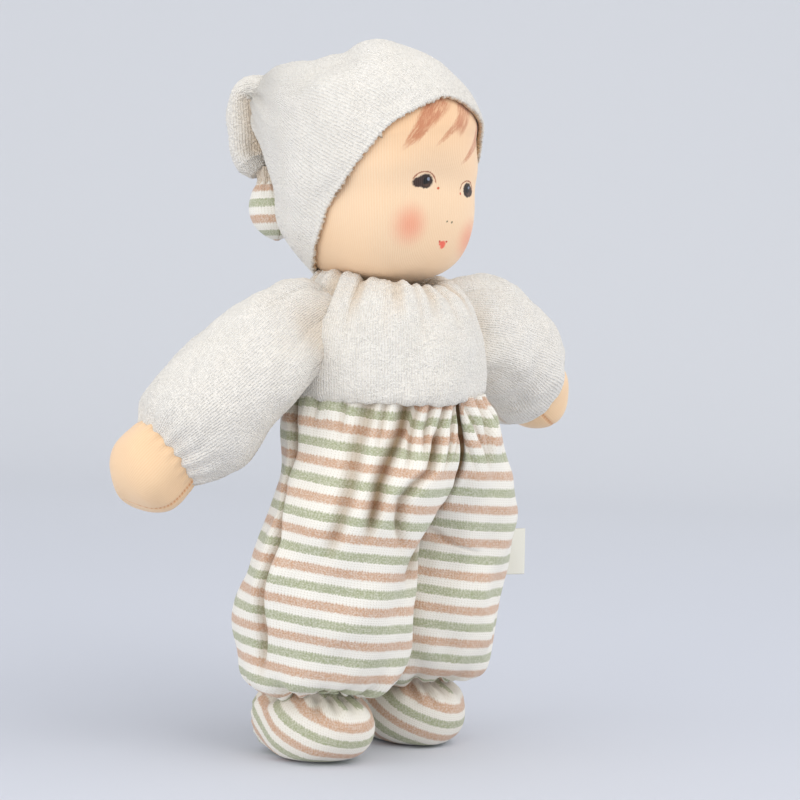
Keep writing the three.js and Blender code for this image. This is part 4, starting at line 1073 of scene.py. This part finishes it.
def build_boot(name):
    """Ovals stacked up through BOOT, puckered at the ankle and drawn in along a heel seam."""
    side = LEG_SIDE[name]
    place = np.linspace(0, 1, 150)[:, None]
    necked, width, toe, heel = along(BOOT, place)
    turn = circle(240)
    half = mix(BOOT_HALF * width, BOOT_NECK, necked)
    front, back = mix(TOE * toe, BOOT_NECK, necked), mix(HEEL * heel, BOOT_NECK, necked)
    x, y = oval(turn, half, front, back)
    rows = np.stack([x + side * LEG_X, y, place * BOOT_HEIGHT + 0 * x], -1)
    from_seam = angle_from(turn, HEEL_SEAM)
    seam = bump(from_seam, 0, 0.08) * smooth(0.0, 0.2, place)
    pucker = np.sin(turn * 13 + 2 * np.sin(turn * 3)) * smooth(0.55, 0.85, place) * 0.9
    near = np.abs(np.sin(place * 24)) * bump(from_seam, 0, 0.35)
    slack = 0.5 * noise(rows, 26.0, 51 + side)
    move = (pucker + slack - 2.0 * seam - 0.8 * near) * smooth(0.0, 0.1, place)
    rows = rows + outward(rows) * move[..., None]
    rows[..., 2] = np.maximum(rows[..., 2], 0.0)
    # The stripes run down from the heel and level out towards the toe.
    share = (rows[..., 1] + TOE) / (TOE + HEEL)
    v = (0.1 * rows[..., 0] * side - 24.0 * share - 5.0 * share**2 + rows[..., 2]) / MM_PER_M + 0.003
    uv = even_uv(ROUND_BOOT, v, turn.size)
    # Painted shade: along the heel seam and the puckers beside it, a little all over, and more at the top,
    # under the trousers.
    shade = 0.6 * seam + 0.25 * near + 0.08 + 0.3 * smooth(0.62, 1.0, place)
    boot = surface(f"{name}_striped_boot", turned_z(rows, TWIST), uv, KNIT, f"{name}_foot",
                   [f"{name}_boot", f"{name}_ankle_thread"], painted_shade=shade)


# Label

LABEL_LENGTH, LABEL_OUT = 17.0, 3.4


def build_label():
    """A folded ribbon: a thin loop along its length, with a slight wave. It starts in the
    seam, where the solid does, and is as high."""
    solid = np.array([v.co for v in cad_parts["label"].data.vertices]) * MM_PER_M - ORIGIN
    inner, outer = solid[solid[:, 0].argmin()], solid[solid[:, 0].argmax()]
    way = (outer - inner) * [1, 1, 0]
    way /= np.linalg.norm(way)
    root = solid[solid[:, 0] < inner[0] + 0.6]
    start = np.array([inner[0], root[:, 1].mean(), 0.0]) + way * LABEL_OUT
    z = np.linspace(solid[:, 2].min(), solid[:, 2].max(), 40)[:, None]
    turn = circle(64)
    across = np.cross(UP, way)
    s = LABEL_LENGTH / 2 * (1 - np.cos(turn))
    thick = 0.75 * np.sign(np.sin(turn)) * np.abs(np.sin(turn)) ** 0.35 * smooth(-1, 3, s)
    wave = 0.5 * np.sin(s / 5 + z / 9)
    rows = start + way * s[..., None] + across * (thick + wave)[..., None] + UP * z[..., None]
    surface("side_ribbon", rows, arc_uv(rows), RIBBON, "left_leg", ["label"])


# The pieces

TERRY = terry("looped_terry")
KNIT = knit("striped_knit")
KNIT_TIP = knit("striped_knit_tip", 0.004)
TRICOT = Tricot("hand_tricot", "f8dcb8", "f0c495").done()
RIBBON = ribbon_material()
WOOL, THREAD = wool_material(), thread_material()

build_head()
build_hood()
build_tail()
build_tip()
build_shirt()
for arm_name in ARM:
    build_arm(arm_name)
for leg_name in LEG_SIDE:
    build_trousers(leg_name)
    build_boot(leg_name)
build_label()

# Solids that no piece replaces show as wool or as thread.
for node_name, node_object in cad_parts.items():
    node_object.data.materials.clear()
    node_object.data.materials.append(WOOL if "core" in node_name else THREAD)


# Room, light and camera

# Metres: the sheet's front, where it starts to bend, the bend's radius, its top, its half width.
SHEET_FRONT, SHEET_BACK, BEND, SHEET_TOP, HALF_SHEET = -3.0, 1.1, 0.9, 4.0, 4.0
# The photograph's view, from a distance in metres on a height in millimetres.
AZIMUTH, ELEVATION, ROLL = math.radians(-39), math.radians(3), math.radians(2.6)
DISTANCE, AIM_Z = 0.9, 145.0
# Pixels: the picture's side, the focal length and the principal point.
PICTURE, FOCAL, MIDDLE_X, MIDDLE_Y = 800, 2169.0, 378, 402.5
# Millimetres.
SENSOR = 36.0
# Height in metres that the lights look at.
LIT_HEIGHT = 0.15


def backdrop():
    """A floor that curves up into a wall behind the doll, one seamless sheet: a quarter of a
    circle joins the two."""
    bend = np.linspace(0, math.pi / 2, 24)
    curve = np.stack([SHEET_BACK + BEND * np.sin(bend), BEND * (1 - np.cos(bend))], -1)
    profile = np.vstack([[SHEET_FRONT, 0.0], curve, [SHEET_BACK + BEND, SHEET_TOP]])
    verts, faces = [], []
    for k, (far, high) in enumerate(profile):
        verts += [(-HALF_SHEET, far, high), (HALF_SHEET, far, high)]
        if k:
            faces.append((2 * k - 2, 2 * k - 1, 2 * k + 1, 2 * k))
    mesh = bpy.data.meshes.new("backdrop")
    mesh.from_pydata(verts, [], faces)
    mesh.polygons.foreach_set("use_smooth", [True] * len(mesh.polygons))
    made = add_object("backdrop", mesh)
    made.rotation_euler = (0, 0, AZIMUTH)
    s = Shader("backdrop_paper", 0.9)
    # Plain matt paper: a cool grey floor, with painted light where it rises into the wall, which is
    # painted lighter.
    soft = s.noise(3.0, 2.0)
    floor = s.blend(soft, linear("d1d4dc"), linear("d3d6de"))
    wall = s.step(s.split(s.place)[1], 0.1, 1.6)
    mesh.materials.append(s.finish(s.blend(wall, floor, linear("dcdee2")), soft, 0.0001, 0.05))


def direction(azimuth, elevation):
    """The unit vector from the doll towards an azimuth, 0 in front of it, and an elevation."""
    level = math.cos(elevation)
    return Vector((math.sin(azimuth) * level, -math.cos(azimuth) * level, math.sin(elevation)))


def camera():
    """The photograph's view: it looks at the doll's middle and is rolled a little."""
    back = direction(AZIMUTH, ELEVATION)
    right = Vector((math.cos(AZIMUTH), math.sin(AZIMUTH), 0))
    up = back.cross(right)
    turned = right * math.cos(ROLL) + up * math.sin(ROLL)
    above = up * math.cos(ROLL) - right * math.sin(ROLL)
    at = Vector(placed(UP * AIM_Z)) + back * DISTANCE
    data = bpy.data.cameras.new("camera")
    made = add_object("camera", data)
    made.matrix_world = Matrix([*zip(turned, above, back, at), (0, 0, 0, 1)])
    data.sensor_width = SENSOR
    data.lens = FOCAL * SENSOR / PICTURE
    data.shift_x = (PICTURE / 2 - MIDDLE_X) / PICTURE
    data.shift_y = (MIDDLE_Y - PICTURE / 2) / PICTURE
    bpy.context.scene.camera = made


def area(name, azimuth, elevation, distance, size, power, colour):
    """A square soft light that looks at the doll from an azimuth and an elevation in degrees,
    at a distance and with a side in metres and a power in watts."""
    back = direction(math.radians(azimuth), math.radians(elevation))
    data = bpy.data.lights.new(name, "AREA")
    data.energy, data.size, data.color = power, size, colour
    made = add_object(name, data)
    made.location = UP * LIT_HEIGHT + np.array(back) * distance
    made.rotation_euler = back.to_track_quat("Z", "Y").to_euler()


def studio():
    """An even, cool sky and three large warm lights at a plain level."""
    world = bpy.data.worlds.new("studio")
    bpy.context.scene.world = world
    world.use_nodes = True
    sky = world.node_tree.nodes["Background"]
    sky.inputs["Color"].default_value = (0.95, 0.965, 1.0, 1)
    sky.inputs["Strength"].default_value = 0.86
    area("key", 5, 48, 1.6, 1.1, 6.8, (1.0, 0.98, 0.95))
    area("side", 60, 15, 1.6, 1.0, 4.0, (1.0, 0.99, 0.97))
    area("fill", -85, 10, 1.7, 1.4, 11.5, (1.0, 0.99, 0.97))


backdrop()
camera()
studio()
scene = bpy.context.scene
scene.view_settings.view_transform = "Standard"
scene.render.resolution_x = scene.render.resolution_y = PICTURE
